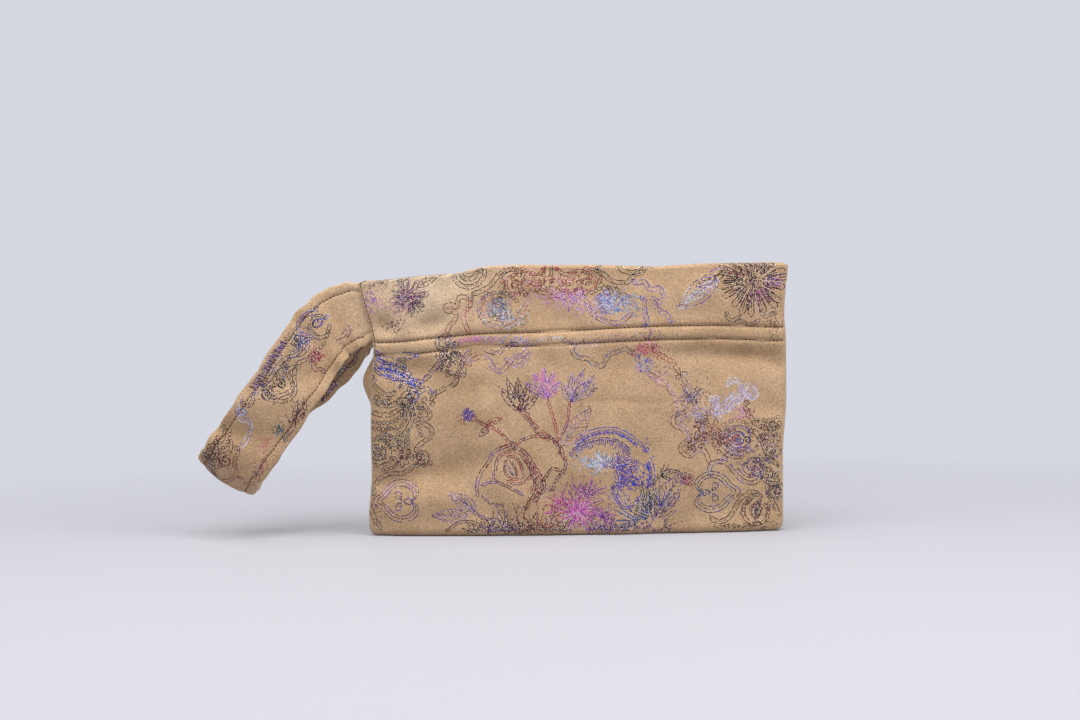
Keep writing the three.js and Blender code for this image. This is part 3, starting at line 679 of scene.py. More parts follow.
def on_hem(share, face, edge):
    """A place on the strap's line of stitching, a hem's width in from one edge, and the normal there."""
    _, _, half, normal = strap_frame(share)
    w = edge * (1 - STRAP_HEM / half)
    height = np.full((len(share), 1), face * STRAP_THICKNESS / 2 * HEM_SUNK)
    return strap_point(share, w[:, None], height)[:, 0], face * normal


def stitch_row(start, end, spot):
    """Stitches at an even pitch along a line on the cloth. spot gives the line's points and normals for
    places between start and end."""
    place, direction = along_path(spot(np.linspace(start, end, ROW_POINTS))[0], STITCH_PITCH)
    return stitches(place, direction, spot(np.linspace(start, end, len(place)))[1])


thread, shader, node, link = new_material("dark_tan_thread", Roughness=0.7)
ply = node("TexNoise", in_Scale=1400.0, in_Detail=1.0)
hue = two_tone(node, linear(52, 35, 22), linear(100, 72, 46))
link(node("TexCoord"), "Object", ply, "Vector")
link(ply, "Fac", hue, "Fac")
link(hue, "Color", shader, "Base Color")


def sewn(name, lots):
    """One piece of stitching from its rows."""
    piece = put_mesh(name, *joined(lots))
    piece.data.materials.append(thread)
    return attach(piece, "root")


for side, name in ((FRONT, "front_stitching"), (BACK, "back_stitching")):
    lots = [
        stitch_row(ROW_LEFT, ROW_RIGHT, lambda x: on_panel(side, x, upper_row_height(x) - drop, 0))
        for drop in (0, ROW_SPACING)
    ]
    z = np.linspace(SEAM_ROW_LOW, SEAM_ROW_HIGH, SEAM_ROW_POINTS)
    path, normal = on_panel(side, left_edge(z) + SEAM_ROW_IN, z, 0)
    place, direction = along_path(path, STITCH_PITCH)
    below = np.linspace(0, SEAM_ROW_POINTS - 1, len(place)).astype(int)
    lots.append(stitches(place, direction, normal[below]))
    sewn(name, lots)
sewn("strap_stitching", [
    stitch_row(HEM_START, HEM_END, lambda share: on_hem(share, face, edge))
    for face in (1, -1) for edge in (-1, 1)
])

# The foil print
# Thin foil scrolls, beaded bands, flowers and leaves, pressed on the suede before it was cut. Wear has broken
# the lines, and the colour drifts from dark brown through violet and blue to silver.
FOIL = {
    "ink": (44, 35, 37), "umber": (88, 62, 50), "maroon": (120, 44, 50), "crimson": (166, 28, 68),
    "plum": (86, 50, 90), "violet": (110, 70, 172), "lilac": (172, 144, 192), "lavender": (206, 205, 232),
    "blue": (42, 72, 172), "royal": (22, 58, 196), "sky": (160, 192, 212), "teal": (48, 78, 82),
    "magenta": (206, 68, 192), "pink": (220, 144, 168), "rose": (180, 98, 90), "slate": (96, 90, 102),
    # The last is a painted highlight, laid beside the lines.
    "glint": (236, 218, 194),
}
LINE_WIDTH, FINE_WIDTH, FOIL_STEP, FOIL_LIFT = 0.46, 0.36, 0.7, 0.1
# A painted highlight beside longer strokes: how far aside, how wide, and the share of it kept.
GLINT_ASIDE, GLINT_WIDTH, GLINT_KEEP = 0.42, 0.3, 0.26
PRINT_FROM_SEAM, PRINT_FROM_BASE, PRINT_PAST_MOUTH = 0.4, 0.6, 2
luck = np.random.default_rng(11)
motifs = []


def stroke(path, colours, width=LINE_WIDTH, keep=0.86):
    """A foil line along points across and up the cloth, with the share of it that wear has left."""
    motifs.append((np.asarray(path, float), colours.split(), width, keep))


def even(path, step):
    """The path again, with points at an even step along it."""
    run = np.concatenate([[0], np.cumsum(np.linalg.norm(np.diff(path, axis=0), axis=-1))])
    at = np.linspace(0, run[-1], max(2, int(run[-1] / step) + 1))
    return np.stack([np.interp(at, run, path[:, i]) for i in (0, 1)], axis=-1)


def sideways(path):
    """Unit vectors square to the path."""
    d = np.gradient(path, axis=0)
    d /= np.linalg.norm(d, axis=-1, keepdims=True) + 1e-9
    return np.stack([-d[:, 1], d[:, 0]], axis=-1)


def curve(points):
    """A smooth line through the points: cubics whose slopes are half the step between the neighbours."""
    p = np.asarray(points, float)
    p = np.concatenate([[2 * p[0] - p[1]], p, [2 * p[-1] - p[-2]]])[:, None]
    t = np.linspace(0, 1, 10, endpoint=False)[None, :, None]
    a, b, c, d = p[:-3], p[1:-2], p[2:-1], p[3:]
    square, cube = a - 2.5 * b + 2 * c - d / 2, 1.5 * (b - c) + (d - a) / 2
    line = b + (c - a) / 2 * t + square * t ** 2 + cube * t ** 3
    return np.concatenate([line.reshape(-1, 2), p[-2]])


def curl(at, ahead, size, colours):
    """A small eye wound on from the end of a line: it turns one and a fifth times while its radius falls."""
    ahead = ahead / np.linalg.norm(ahead)
    aside = luck.choice([-1, 1]) * np.array([-ahead[1], ahead[0]])
    t = np.linspace(0, 1, 18)[:, None]
    radius, turn = size * (1 - 0.68 * t), 2.4 * np.pi * t
    stroke(at + aside * (size - radius * np.cos(turn)) + ahead * radius * np.sin(turn), colours)


def lace(x, z, wide, tall, count, colours):
    """Small curls strewn over a patch, thickest in the middle, each wound its own way."""
    for at in luck.normal(0, 0.55, (count, 2)) * [wide, tall] + [x, z]:
        turn = luck.uniform(0, 2 * np.pi)
        curl(at, np.array([math.cos(turn), math.sin(turn)]), luck.uniform(0.9, 2.3), colours)


def rope(points, colours, gap=2.5, dots=0.55, curls=0.55):
    """Two lines side by side along a curve, drawn together at its ends, with dots down the middle. Some ends
    wind up in a curl."""
    middle = even(curve(points), FOIL_STEP)
    run = FOIL_STEP * np.arange(len(middle))[:, None]
    aside = sideways(middle)
    apart = gap / 2 * np.sqrt(np.clip(np.minimum(run, run[-1] - run) / gap, 0, 1))
    for hand in (-1, 1):
        waver = 0.12 * np.sin(1.1 * run + luck.uniform(0, 7))
        stroke(middle + aside * hand * (apart + waver), colours)
    for end, ahead in ((0, middle[0] - middle[1]), (-1, middle[-1] - middle[-2])):
        if luck.random() < curls:
            curl(middle[end], ahead, 0.8 * gap, colours)
    for k in range(2, len(middle) - 2, 2):
        if luck.random() < dots:
            off = aside[k] * luck.normal(0, 0.16)
            stroke([middle[k] + off, middle[k + 1] + off], colours, LINE_WIDTH, 1.0)


def beads(points, colours, size=1.1, pitch=2.5, offset=0.0):
    """Small rings in a row along a curve, or to one side of it."""
    turn = np.linspace(0, 2 * np.pi, 9)
    path = even(curve(points), pitch)
    for at in path + sideways(path) * offset:
        stroke(at + size * np.stack([np.cos(turn), np.sin(turn)], axis=-1), colours, FINE_WIDTH, 0.88)


def scroll(x, z, radius, start, turns, colours):
    """A double line wound in to an eye: the radius falls evenly to a fifth while the angle turns."""
    t = np.linspace(0, 1, 60)
    turn = math.radians(start) + 2 * np.pi * turns * t
    arm = np.stack([np.cos(turn), np.sin(turn)], axis=-1)
    for scale in (1.0, 0.78):
        stroke([x, z] + arm * (radius * scale * (1 - 0.8 * t))[:, None], colours)
    stroke([x, z] + 0.16 * radius * arm[:40], colours)
    for k in range(0, 46, 3):
        reach = radius * (1 - 0.8 * t[k])
        stroke([[x, z] + arm[k] * reach * 0.97, [x, z] + arm[k] * reach * 0.82], colours, 0.45, 0.6)


def petal(x, z, turn, near, far, width):
    """A closed teardrop from near to far along a direction, widest beyond its middle."""
    t = np.linspace(0, 2 * np.pi, 22)
    grown = 0.5 - 0.5 * np.cos(t)
    along, across = near + (far - near) * grown, width / 2 * np.sin(t) * grown ** 0.4
    c, s = math.cos(turn), math.sin(turn)
    return np.stack([x + along * c - across * s, z + along * s + across * c], axis=-1)


def bloom(x, z, rings, colours, flat=1.0, width_of_line=FINE_WIDTH):
    """Rings of petals, each a teardrop with veins; flat squeezes the flower up and down."""
    for count, near, far, width, offset in rings:
        for k in range(count):
            turn = 2 * np.pi * (k + offset) / count + luck.normal(0, 0.05)
            reach = far * luck.uniform(0.88, 1.06)
            lines = [petal(0, 0, turn, near, reach, width)]
            for lean in (-0.12, 0.0, 0.13):
                a = turn + lean * width / reach * 3
                r = np.linspace(near, near + (reach - near) * luck.uniform(0.5, 0.85), 6)[:, None]
                lines.append(r * [math.cos(a), math.sin(a)])
            for line in lines:
                stroke(np.array([x, z]) + line * [1, flat], colours, width_of_line, 0.8)


def leaf(base, tip, width, colours, veins=5):
    """Two bowed edges from base to tip, a midrib, and veins that lean forward."""
    base, tip = np.array(base, float), np.array(tip, float)
    t = np.linspace(0, 1, 24)[:, None]
    aside = np.array([base[1] - tip[1], tip[0] - base[0]]) / np.linalg.norm(tip - base) * width / 2
    belly = np.sin(np.pi * t ** 0.8)
    for hand in (1, -1):
        stroke(mix(base, tip, t) + hand * aside * belly, colours)
        for k in range(veins):
            at = (k + 1) / (veins + 1.5)
            out = mix(base, tip, min(1, at + 0.14)) + hand * aside * 0.8 * math.sin(np.pi * at ** 0.8)
            stroke(np.stack([mix(base, tip, at), out]), colours, 0.42, 0.6)
    stroke(mix(base, tip, t[:20]), colours, 0.5, 0.75)


def heart(x, z, size, turn, colours):
    """Three round-cheeked hearts one inside another, each a circle drawn in at the cleft and out to a tip on
    the far side, with a small trefoil in the middle."""
    t = np.linspace(0, 2 * np.pi, 60)
    radius = 0.9 - 0.42 * bump(t - np.pi / 2, 0.36) + 0.36 * bump(t - 3 * np.pi / 2, 0.24)
    shape = np.stack([radius * np.cos(t), radius * np.sin(t)], axis=-1)
    c, s = math.cos(math.radians(turn)), math.sin(math.radians(turn))
    spin = np.array([[c, s], [-s, c]])
    for scale in (1.0, 0.84, 0.7):
        stroke(np.array([x, z]) + shape @ spin * size * scale, colours)
    for k in range(3):
        loop = petal(0, 0, np.pi / 2 + k * 2.09, 0.08, 0.46, 0.34) @ spin * size
        stroke(np.array([x, z]) + loop, colours)
        stroke(np.array([x, z]) + loop * 0.55, colours, 0.45, 0.7)


def cloud(x, z, wide, tall, count, colours, length=1.4, lean=60):
    """A drift of short dashes, thickest in the middle, that mostly lean one way."""
    count = int(count * 0.55)
    at = luck.normal(0, 0.55, (count, 2)) * [wide, tall] + [x, z]
    turn = np.radians(lean + luck.normal(0, 35, count))
    half = luck.uniform(0.3, 1, (count, 1)) * length / 2 * np.stack([np.cos(turn), np.sin(turn)], axis=-1)
    for a, b in zip(at - half, at + half):
        stroke([a, b], colours, 0.38, 1.0)


def tuft(x, z, count, length, middle, spread, colours):
    """Blades that fan out of one foot, each bowed a little outwards."""
    for turn in np.radians(middle + np.linspace(-spread, spread, count) + luck.normal(0, 5, count)):
        reach = length * luck.uniform(0.55, 1.1)
        t = np.linspace(0.1, 1, 8)[:, None]
        bow = luck.normal(0, 0.12) * t ** 2
        line = np.concatenate([np.cos(turn + bow), np.sin(turn + bow)], axis=1) * reach * t
        stroke(line + [x, z], colours, FINE_WIDTH, 0.78)


def rosette(x, z, radius, colours):
    """A round flower seen aslant: four lobed arcs that share no centre, slanted dashes and a dark eye."""
    arcs = ((1.0, 0.4, 5.3, 0), (0.76, 2.2, 4.7, 0.07), (0.5, 4.4, 4.9, -0.06), (0.26, 1, 5, 0))
    for share, start, sweep, shift in arcs:
        t = np.linspace(start, start + sweep, 44)
        r = radius * share * (1 + 0.08 * np.abs(np.sin(5.5 * t)))
        stroke(np.stack([x + shift * radius + r * np.cos(t), z + 0.88 * r * np.sin(t)], axis=-1), colours)
    for turn in np.linspace(0.4, 5.7, int(3.2 * radius)):
        arm = radius * np.array([math.cos(turn), 0.88 * math.sin(turn)])
        lean = radius * np.array([math.cos(turn + 0.12), 0.88 * math.sin(turn + 0.12)])
        stroke([[x, z] + 0.8 * arm, [x, z] + 0.95 * lean], colours, 0.4, 0.85)
    cloud(x, z, 0.3 * radius, 0.25 * radius, int(4 * radius), colours, 0.9, 30)


def rose(x, z, wide, tall, inner, outer):
    """A rose seen a little from the side: a wound heart, petals that lap it, a cup of outer petals and a
    sepal line below, with close lines down the shaded right side."""
    for points, colours, gap in (
        ([(-0.16, 0.26), (-0.1, 0.5), (0.06, 0.6), (0.24, 0.48), (0.36, 0.18), (0.43, -0.12)], inner, 1.2),
        ([(0.43, -0.12), (0.22, -0.2), (0, -0.15), (-0.14, 0.02), (-0.17, 0.26)], inner, 1.1),
        ([(0.02, 0.46), (0.15, 0.2), (0.22, -0.1)], inner, 0.9),
        ([(-0.05, 0.3), (0.02, 0.08), (0.12, -0.08)], outer, 0.9),
        ([(-0.44, 0.06), (-0.39, 0.44), (-0.15, 0.72), (0.2, 0.76), (0.48, 0.48), (0.68, 0.05),
          (0.78, -0.32)], inner, 1.5),
        ([(-0.98, -0.8), (-1, -0.4), (-0.87, 0.03), (-0.65, 0.37), (-0.48, 0.73), (-0.13, 0.92),
          (0.2, 0.9)], outer, 1.7),
        ([(-0.3, 0.84), (0, 0.98), (0.29, 0.86), (0.55, 0.62), (0.76, 0.2), (1, -0.25), (1, -0.58),
          (0.7, -1)], inner, 1.7),
        ([(-0.87, -0.41), (-0.66, -0.32), (-0.4, -0.27), (-0.2, -0.37), (0.06, -0.52),
          (0.4, -0.74)], outer, 1.3),
        ([(-0.46, 0.1), (-0.5, -0.12), (-0.36, -0.3)], outer, 1.1),
        ([(-0.1, -0.22), (0.2, -0.36), (0.5, -0.24), (0.66, 0.02)], inner, 1.1),
        ([(-0.85, -0.75), (-0.6, -1.02), (-0.2, -1.1)], outer, 1.2),
    ):
        rope(np.array(points) * [wide, tall] + [x, z], colours, gap, 0.25, 0.0)
    for k in range(5):
        line = np.array([(0.4, 0.5), (0.6, 0.1), (0.7, -0.4), (0.5, -0.95)]) + [0.075 * k, -0.02 * k]
        stroke(curve(line * [wide, tall] + [x, z]), inner, 0.42, 0.72)
    cloud(x + 0.78 * wide, z - 0.4 * tall, 0.2 * wide, 0.5 * tall, 60, inner, 1.6, 75)


def fringe(points, step, near, shortest, longest, colours, width, keep):
    """Short lines square to a curve, on its right hand, from near it to a length between two limits."""
    path = even(curve(points), step)
    for at, aside in zip(path, sideways(path)):
        stroke([at - aside * near, at - aside * luck.uniform(shortest, longest)], colours, width, keep)


def each(motif, rows, *more):
    """One motif drawn for every row of places, sizes and colours, with what more says for all of them."""
    for row in rows:
        motif(*row, *more)


# Band: a thistle head at the left, a shell between two scrolls in the middle, and a dahlia with its leaf at
# the right
tuft(-106, 149, 40, 10, 50, 185, "ink plum violet ink")
cloud(-104, 146, 9, 8, 230, "ink magenta plum", 1.5, -50)
tuft(-103, 145, 22, 9, -50, 60, "ink plum umber")
bloom(-104, 148, [(8, 3, 12, 4.5, 0.2)], "plum slate rose")
each(leaf, [((-99, 154), (-84, 163), 5, "slate umber", 5), ((-112, 158), (-100, 163), 4, "slate teal", 4)])
each(cloud, [
    (-127, 146, 5, 7, 170, "magenta violet lilac", 1.3, 80),
    (-112, 142, 9, 7, 190, "pink lilac rose", 1.3, 30), (-113, 131, 8, 5, 90, "slate teal umber", 1.6, 60),
    (-124, 158, 9, 3, 110, "teal ink slate", 1.4, 30),
])
each(rope, [
    ([(-66.5, 148.5), (-59, 151.5), (-53.5, 155), (-48, 161.5), (-41, 164.5), (-34.5, 161.5)],
      "umber slate ink"),
    ([(-77, 165), (-75.5, 158), (-70, 154), (-63.5, 154.5), (-58.5, 159), (-57, 165)], "slate plum ink"),
    ([(-72.5, 164), (-71, 160), (-67.5, 158.5), (-63.5, 160), (-62, 164)], "slate ink"),
    ([(-83.5, 122), (-79.5, 129.5), (-75.5, 135), (-76.5, 139), (-80.5, 139), (-82, 142), (-78, 143),
      (-74.5, 142), (-73.5, 147), (-69, 147.5), (-66, 144.5), (-67, 140.5)], "maroon rose umber"),
    ([(-70.5, 139.5), (-70, 132.5), (-67, 125)], "rose maroon pink"),
    ([(11, 163.5), (16, 160), (21.5, 156), (30, 155.5), (34, 159.5), (39.5, 162), (43, 166)],
      "umber ink slate"),
    ([(24, 166), (28.5, 162), (35.5, 161.5), (42, 165)], "ink umber"),
    ([(34.5, 154), (40, 155.5), (44, 151), (49.5, 151.5), (52.5, 146.5), (50, 143), (45.5, 145),
      (48.5, 139), (54, 135), (57, 130)], "violet blue lilac"),
    ([(41, 145.5), (40.5, 138.5), (42.5, 129)], "blue violet lilac"),
    ([(-56, 148), (-61, 141), (-57, 132), (-48, 129), (-40, 131), (-35, 138), (-30, 147)],
      "rose lilac slate"),
    ([(4, 147), (8, 137), (16, 132), (25, 131), (33, 137)], "violet lilac plum"),
    ([(-30, 156), (-26, 149), (-20, 147), (-14, 148), (-8, 147), (-2, 149), (2, 155)], "maroon rose lilac"),
])
each(scroll, [
    (-38.5, 154, 7.8, 60, 1.6, "maroon umber crimson"), (-33, 149, 3.4, 200, -1.3, "maroon rose"),
    (5.5, 155, 7.8, 120, -1.6, "maroon umber rose"), (0, 149, 3.4, -20, 1.3, "rose violet"),
])
SHELL_X = -16.5
for hand in (-1, 1):
    for points in (
        [(2, 149), (6, 154), (12, 155), (16, 159), (13, 162.5), (9, 160)],
        [(3, 165), (9, 160.5), (17, 163), (24, 160), (21, 155.5), (17, 157)],
        [(1, 156), (5, 160), (4, 164)],
        [(20, 165), (27, 163), (31, 159), (28, 154)],
    ):
        rope([(SHELL_X + hand * x, z) for x, z in points], "maroon rose umber", 1.7, 0.4)
    scroll(SHELL_X + hand * 7, 156, 3.2, 90 + 60 * hand, 1.3 * hand, "maroon rose umber")
    rim = [(SHELL_X + hand * x, z) for x, z in ((3, 152), (10, 150.5), (18, 152))]
    beads(rim, "umber maroon", 0.9, 2.2)
rope([(SHELL_X, 165), (SHELL_X, 156), (SHELL_X, 148)], "maroon umber", 1.8)
cloud(-17, 157, 15, 6, 60, "maroon umber rose", 1.2, 45)
each(lace, [
    (-17, 154, 22, 6, 26, "rose maroon pink"), (-49, 141, 10, 8, 26, "slate sky umber"),
    (20, 145, 11, 7, 26, "blue lavender violet"), (-4, 147, 12, 6, 18, "pink lilac violet"),
    (-79, 108, 6, 8, 18, "ink umber plum"),
])
for ring in (7.5, 4.5):
    rosette(-48, 139.5, ring, "slate lilac teal")
    rosette(18.5, 143.5, ring, "blue sky violet")
each(beads, [
    ([(-59, 147), (-52, 150), (-44, 149), (-38, 145)], "plum slate maroon"),
    ([(8, 149), (16, 152.5), (24, 151), (30, 146)], "teal slate ink"),
])
each(cloud, [
    (-58, 139, 8, 8, 130, "rose lilac slate", 1.2, 60),
    (-40, 133, 10, 6, 190, "teal sky lavender", 1.3, 50), (-46, 150, 8, 3, 60, "slate umber plum", 1.1, 20),
    (-10, 146, 13, 6, 360, "pink lavender magenta", 1.3, 70),
    (-1, 141, 12, 7, 260, "lavender lilac pink", 1.3, 70),
    (29, 142, 11, 8, 330, "lavender blue sky", 1.4, 60), (19, 151, 8, 4, 90, "ink teal umber", 1.2, 30),
    (12, 138, 10, 6, 150, "lilac lavender violet", 1.3, 60),
])
each(leaf, [
    ((85, 157), (60.5, 138.5), 13, "lavender ink blue violet", 8),
    ((86, 156), (64, 142), 6, "lavender sky lilac", 6), ((92, 163), (72, 152), 7, "ink umber violet", 6),
])
bloom(107, 155.5, [(13, 6, 15, 4.6, 0.4), (19, 9, 23, 5.2, 0.1)], "ink plum umber ink", 0.95, 0.45)
tuft(107, 155.5, 26, 8, 0, 180, "ink plum umber")
each(cloud, [
    (107, 155.5, 5, 4.5, 190, "ink umber plum", 1.1, 60),
    (113, 147, 7, 6, 210, "magenta pink plum", 1.4, 70),
    (121, 154, 5, 5, 130, "violet magenta lilac", 1.3, 20), (95, 160, 6, 4, 50, "crimson maroon", 1.3, 30),
])
for a, z, reach in ((0.1, 134, 9), (0.5, 131.5, 14), (0.9, 136, 8)):
    x = 92 + 26 * a
    rope([(x - reach / 2, z), (x, z - 3), (x + reach / 2, z)], "slate umber plum", 2)
cloud(120, 128, 5, 9, 90, "umber slate plum", 1.3, 60)

# Between and below the rows of stitching: wavy bands that hang like swags, a small heart at the left and a
# pale scroll at the right
each(rope, [
    ([(-70, 100.5), (-71.5, 107.5), (-68, 113), (-59.5, 115.5), (-51, 113), (-45.5, 116), (-40, 119.5)],
      "ink violet plum"),
    ([(-68, 108.5), (-62, 110.5), (-56.5, 110), (-52.5, 104), (-48, 102), (-43.5, 106.5), (-40, 110),
      (-33.5, 112.5), (-31, 119)], "violet lilac maroon"),
    ([(-106, 95), (-99.5, 95.5), (-94, 98), (-90, 103), (-86.5, 107), (-82.5, 114), (-81, 123)],
      "ink blue plum"),
    ([(-92, 84), (-88.5, 88.5), (-84, 91), (-78, 93.5), (-75, 98.5), (-79, 101), (-82, 98.5)], "ink umber"),
    ([(-87, 122), (-86.5, 117), (-81, 116), (-77, 120)], "blue ink"),
    ([(-5.5, 120), (-2.5, 111), (5, 109), (9, 106), (14, 104.5), (18, 110.5), (23, 113), (29, 114.5),
      (32.5, 111)], "slate umber blue"),
    ([(45, 114.5), (51.5, 109.5), (57.5, 105.5), (62, 98)], "maroon umber crimson"),
    ([(37, 104), (41.5, 100.5), (48.5, 95.5), (55, 89.5), (60, 82)], "lilac pink slate"),
    ([(63, 98), (66, 91), (68.5, 84), (72, 78)], "slate lilac umber"),
    ([(36, 111), (36, 105), (40, 101.5), (44, 105), (41, 108)], "blue sky violet"),
    ([(-30, 113), (-37, 105), (-46, 110)], "lilac violet"),
])
each(beads, [
    ([(-72, 121), (-60.5, 122), (-53.5, 121.5), (-47, 122)], "magenta lilac violet", 1.5, 3.4),
    ([(-30, 118), (-22, 121), (-12, 121.5), (-6, 119)], "slate lilac sky", 1.2, 2.8),
])
each(cloud, [
    (-40, 120.5, 9, 3, 120, "blue sky lilac", 1.4, 40), (-60, 121, 9, 3, 70, "magenta lilac", 1.2, 60),
])
heart(-78.5, 108, 8.5, 20, "ink umber plum")
each(scroll, [(-83, 111, 4, 40, 1.4, "ink umber plum"), (-75, 112, 3, 140, -1.4, "ink plum")])
each(cloud, [
    (-78, 108, 8, 8, 60, "ink umber slate", 1.1, 50),
    (2, 118.5, 12, 4, 130, "lavender lilac slate", 1.3, 60),
    (24, 121, 14, 3, 110, "pink slate lilac", 1.3, 50), (44, 122.5, 9, 3, 90, "lilac slate plum", 1.6, 60),
    (41, 114.5, 10, 5, 330, "crimson rose pink", 1.9, -50), (40, 105, 5, 5, 90, "blue sky slate", 1.4, 50),
    (50, 96, 9, 8, 170, "lilac pink slate", 1.5, -45), (67, 84, 8, 9, 260, "lilac slate plum", 1.6, -40),
    (75, 74, 9, 4, 150, "lilac slate lavender", 1.9, -30),
    (62, 72, 6, 5, 90, "violet slate lilac", 1.3, -50),
])
for points in (
    [(91, 90), (92, 93), (94.5, 94.5), (98.5, 92.5), (100, 88), (101.5, 84)],
    [(101, 86), (103, 90.5), (107, 90), (109, 86), (106, 82.5), (104, 84.5)],
    [(101, 83), (96, 80.5), (91, 76.5), (85, 74.5)],
    [(99, 86), (94, 84), (89.5, 79), (84, 77)],
):
    rope(points, "lavender lavender lilac", 2.6, 0.7)
    stroke(curve(points) + [0.5, -0.8], "lavender lilac lavender")
each(cloud, [
    (95, 83, 9, 6, 110, "lavender lavender lilac", 1.7, 40),
    (84, 79, 8, 5, 90, "slate lilac lavender", 1.7, -30), (99, 74, 5, 4, 90, "pink magenta lilac", 1.3, 50),
    (104, 75, 4, 4, 60, "crimson maroon plum", 1.3, 50),
])

# Left: a wing of blue strokes, then beaded arcs and half a rosette at the seam, with a heart below
for k in range(4):
    quill = [(-128, 117 - 4 * k), (-121, 112 - 4.2 * k), (-113, 111 - 4.6 * k), (-107 + 2 * k, 106 - 4 * k)]
    rope(quill, "ink blue ink royal", 1.5, 0.8)
for k in range(5):
    barb = [(-126 + 4 * k, 113 - 3 * k), (-121 + 4 * k, 109 - 3.2 * k), (-119 + 4 * k, 103 - 2.6 * k)]
    stroke(curve(barb), "ink royal blue")
each(leaf, [
    ((-122, 106), (-103, 96), 8, "ink blue royal", 7), ((-113, 112), (-98, 112), 4, "blue royal slate", 5),
])
each(cloud, [
    (-116, 103, 10, 7, 150, "ink royal blue", 1.5, -35), (-101, 95, 5, 3, 90, "ink blue royal", 1.5, -30),
])
each(rope, [
    ([(-129, 85), (-122, 81.5), (-116, 81.5), (-111.5, 84), (-108, 88), (-104, 91)], "ink slate umber"),
    ([(-129, 77), (-121.5, 75.5), (-115.5, 76.5), (-110, 80.5), (-105.5, 86.5)], "ink umber"),
    ([(-104, 83), (-102.5, 74.5), (-105.5, 68), (-109, 61.5), (-109.5, 53)], "teal ink plum"),
    ([(-97, 84), (-92, 75), (-97.5, 71.5), (-92, 67.5), (-91.5, 62.5), (-97.5, 58), (-101, 53.5), (-95, 51),
      (-95.5, 46), (-101, 46)], "plum umber ink"),
    ([(-101.5, 44.5), (-109.5, 39), (-118, 38.5), (-124, 35.5), (-129.5, 28)], "teal ink plum"),
    ([(-131, 21), (-128, 11.5), (-123, 4)], "plum ink slate"),
    ([(-103, 95), (-98, 90), (-94, 92), (-91, 88)], "ink plum blue"),
    ([(-129, 97), (-124, 91), (-118, 88), (-113, 90)], "slate ink"),
])
each(beads, [
    ([(-129, 71), (-119.5, 70.5), (-113, 72.5), (-107.5, 77.5)], "ink slate"),
    ([(-129, 67), (-121, 66.5), (-114, 67.5)], "ink umber slate"),
    ([(-107.5, 74), (-111, 66.5), (-113.5, 58)], "teal ink"),
    ([(-106, 66), (-106, 56), (-104, 48)], "teal slate"),
    ([(-122, 64), (-114, 61), (-111, 53), (-114, 44), (-122, 41)], "ink plum teal"),
    ([(-100, 82), (-98, 77), (-100, 70), (-98, 63)], "plum slate ink"),
])
for ring in (10, 5.5):
    rosette(-125, 52, ring, "ink slate umber")
each(scroll, [(-102, 87.5, 4.4, 200, 1.3, "ink plum blue"), (-99, 49, 3, 20, 1.3, "plum umber")])
cloud(-113, 58, 10, 15, 70, "ink slate plum", 1.1, 50)
each(lace, [
    (-119, 58, 8, 9, 26, "ink slate umber"), (-105, 82, 7, 9, 28, "ink plum teal"),
    (-103, 93, 5, 5, 14, "ink blue plum"), (-108, 46, 10, 5, 16, "plum ink maroon"),
    (-120, 84, 7, 3, 10, "ink umber slate"),
])
heart(-110.5, 22, 14.3, -90, "plum violet slate")
cloud(-126, 12, 4, 10, 40, "slate plum", 1.3, 110)

# Middle: a rose, a bud, three flowers and a leaf on one stem, a full blue bloom and a magenta one, and
# foliage at the foot
rose(-43.5, 39, 20.5, 18, "crimson maroon plum", "violet slate maroon")
each(rope, [
    ([(-65, 73), (-60, 70), (-50.5, 65.5), (-42, 57)], "crimson maroon"),
    ([(-33, 78), (-29, 68), (-24, 62), (-17, 60), (-12, 52)], "plum maroon umber"),
    ([(-34, 18), (-28, 27), (-22, 36), (-17, 42), (-10, 38)], "umber maroon ink"),
    ([(-41, 57), (-28, 62), (-14, 57), (-10, 48)], "rose maroon plum"),
    ([(-12, 52), (-9, 44), (-14, 36), (-18, 28)], "plum maroon"),
], 1.5, 0.5)
bloom(-68.5, 75, [(8, 0.5, 4.6, 2.4, 0), (6, 0, 2.8, 1.6, 0.5)], "blue violet maroon")
each(cloud, [(-69, 77, 2.5, 2.5, 50, "blue violet", 1.0, 60), (-71, 72, 4, 3, 40, "maroon rose", 1.1, 60)])
each(leaf, [((-58, 69), (-48, 73.5), 4, "maroon rose", 4), ((-56, 67.5), (-62, 62), 4, "maroon plum", 4)])
STEM_TOP = (-14, 58)
for foot, tips, width, colours in (
    ((-37, 77), [(-50, 93), (-45, 98), (-38, 98), (-31, 95), (-25, 88)], 5.4, "ink plum maroon"),
    ((-20, 85), [(-34, 95), (-29, 101), (-22, 104), (-16, 101), (-12, 95)], 4.4, "magenta lilac violet"),
    ((-6, 83), [(-11, 95), (-4, 101), (3, 103), (9, 99), (11, 91)], 4.4, "violet slate lilac"),
):
    for tip in tips:
        leaf(foot, tip, width, colours, 4)
    halfway = mix(np.array(foot), np.array(STEM_TOP), 0.5) + [1.5, -2]
    rope([foot, halfway, STEM_TOP], "crimson rose plum", 1.4)
leaf((-11, 56), (7, 79), 12, "rose lilac slate", 9)
each(cloud, [
    (-37, 87, 6, 6, 130, "ink blue plum", 1.2, 50), (-22, 96, 8, 5, 120, "magenta lilac pink", 1.6, 75),
    (3, 93, 8, 6, 110, "violet lilac slate", 1.6, 50), (-4, 68, 7, 8, 70, "rose pink lilac", 1.6, 60),
])
arch = [(-3, 57), (2, 61.5), (10, 64.5), (21, 65), (32, 59.5), (40, 50), (44, 38), (42, 29)]
rope(arch, "royal blue violet", 3.4, 1.0)
inner_arch = [(-7, 51), (1, 57), (12, 60), (22, 58.5), (30, 53), (35, 46), (34, 38), (27, 33), (20, 29)]
rope(inner_arch, "violet plum blue", 1.4, 0.6)
each(fringe, [
    (inner_arch, 1.3, 0.6, 2, 5.5, "violet royal plum", 0.45, 0.8),
    (arch, 1.0, 0.4, 1.2, 3.4, "royal blue violet", 0.5, 0.85),
])
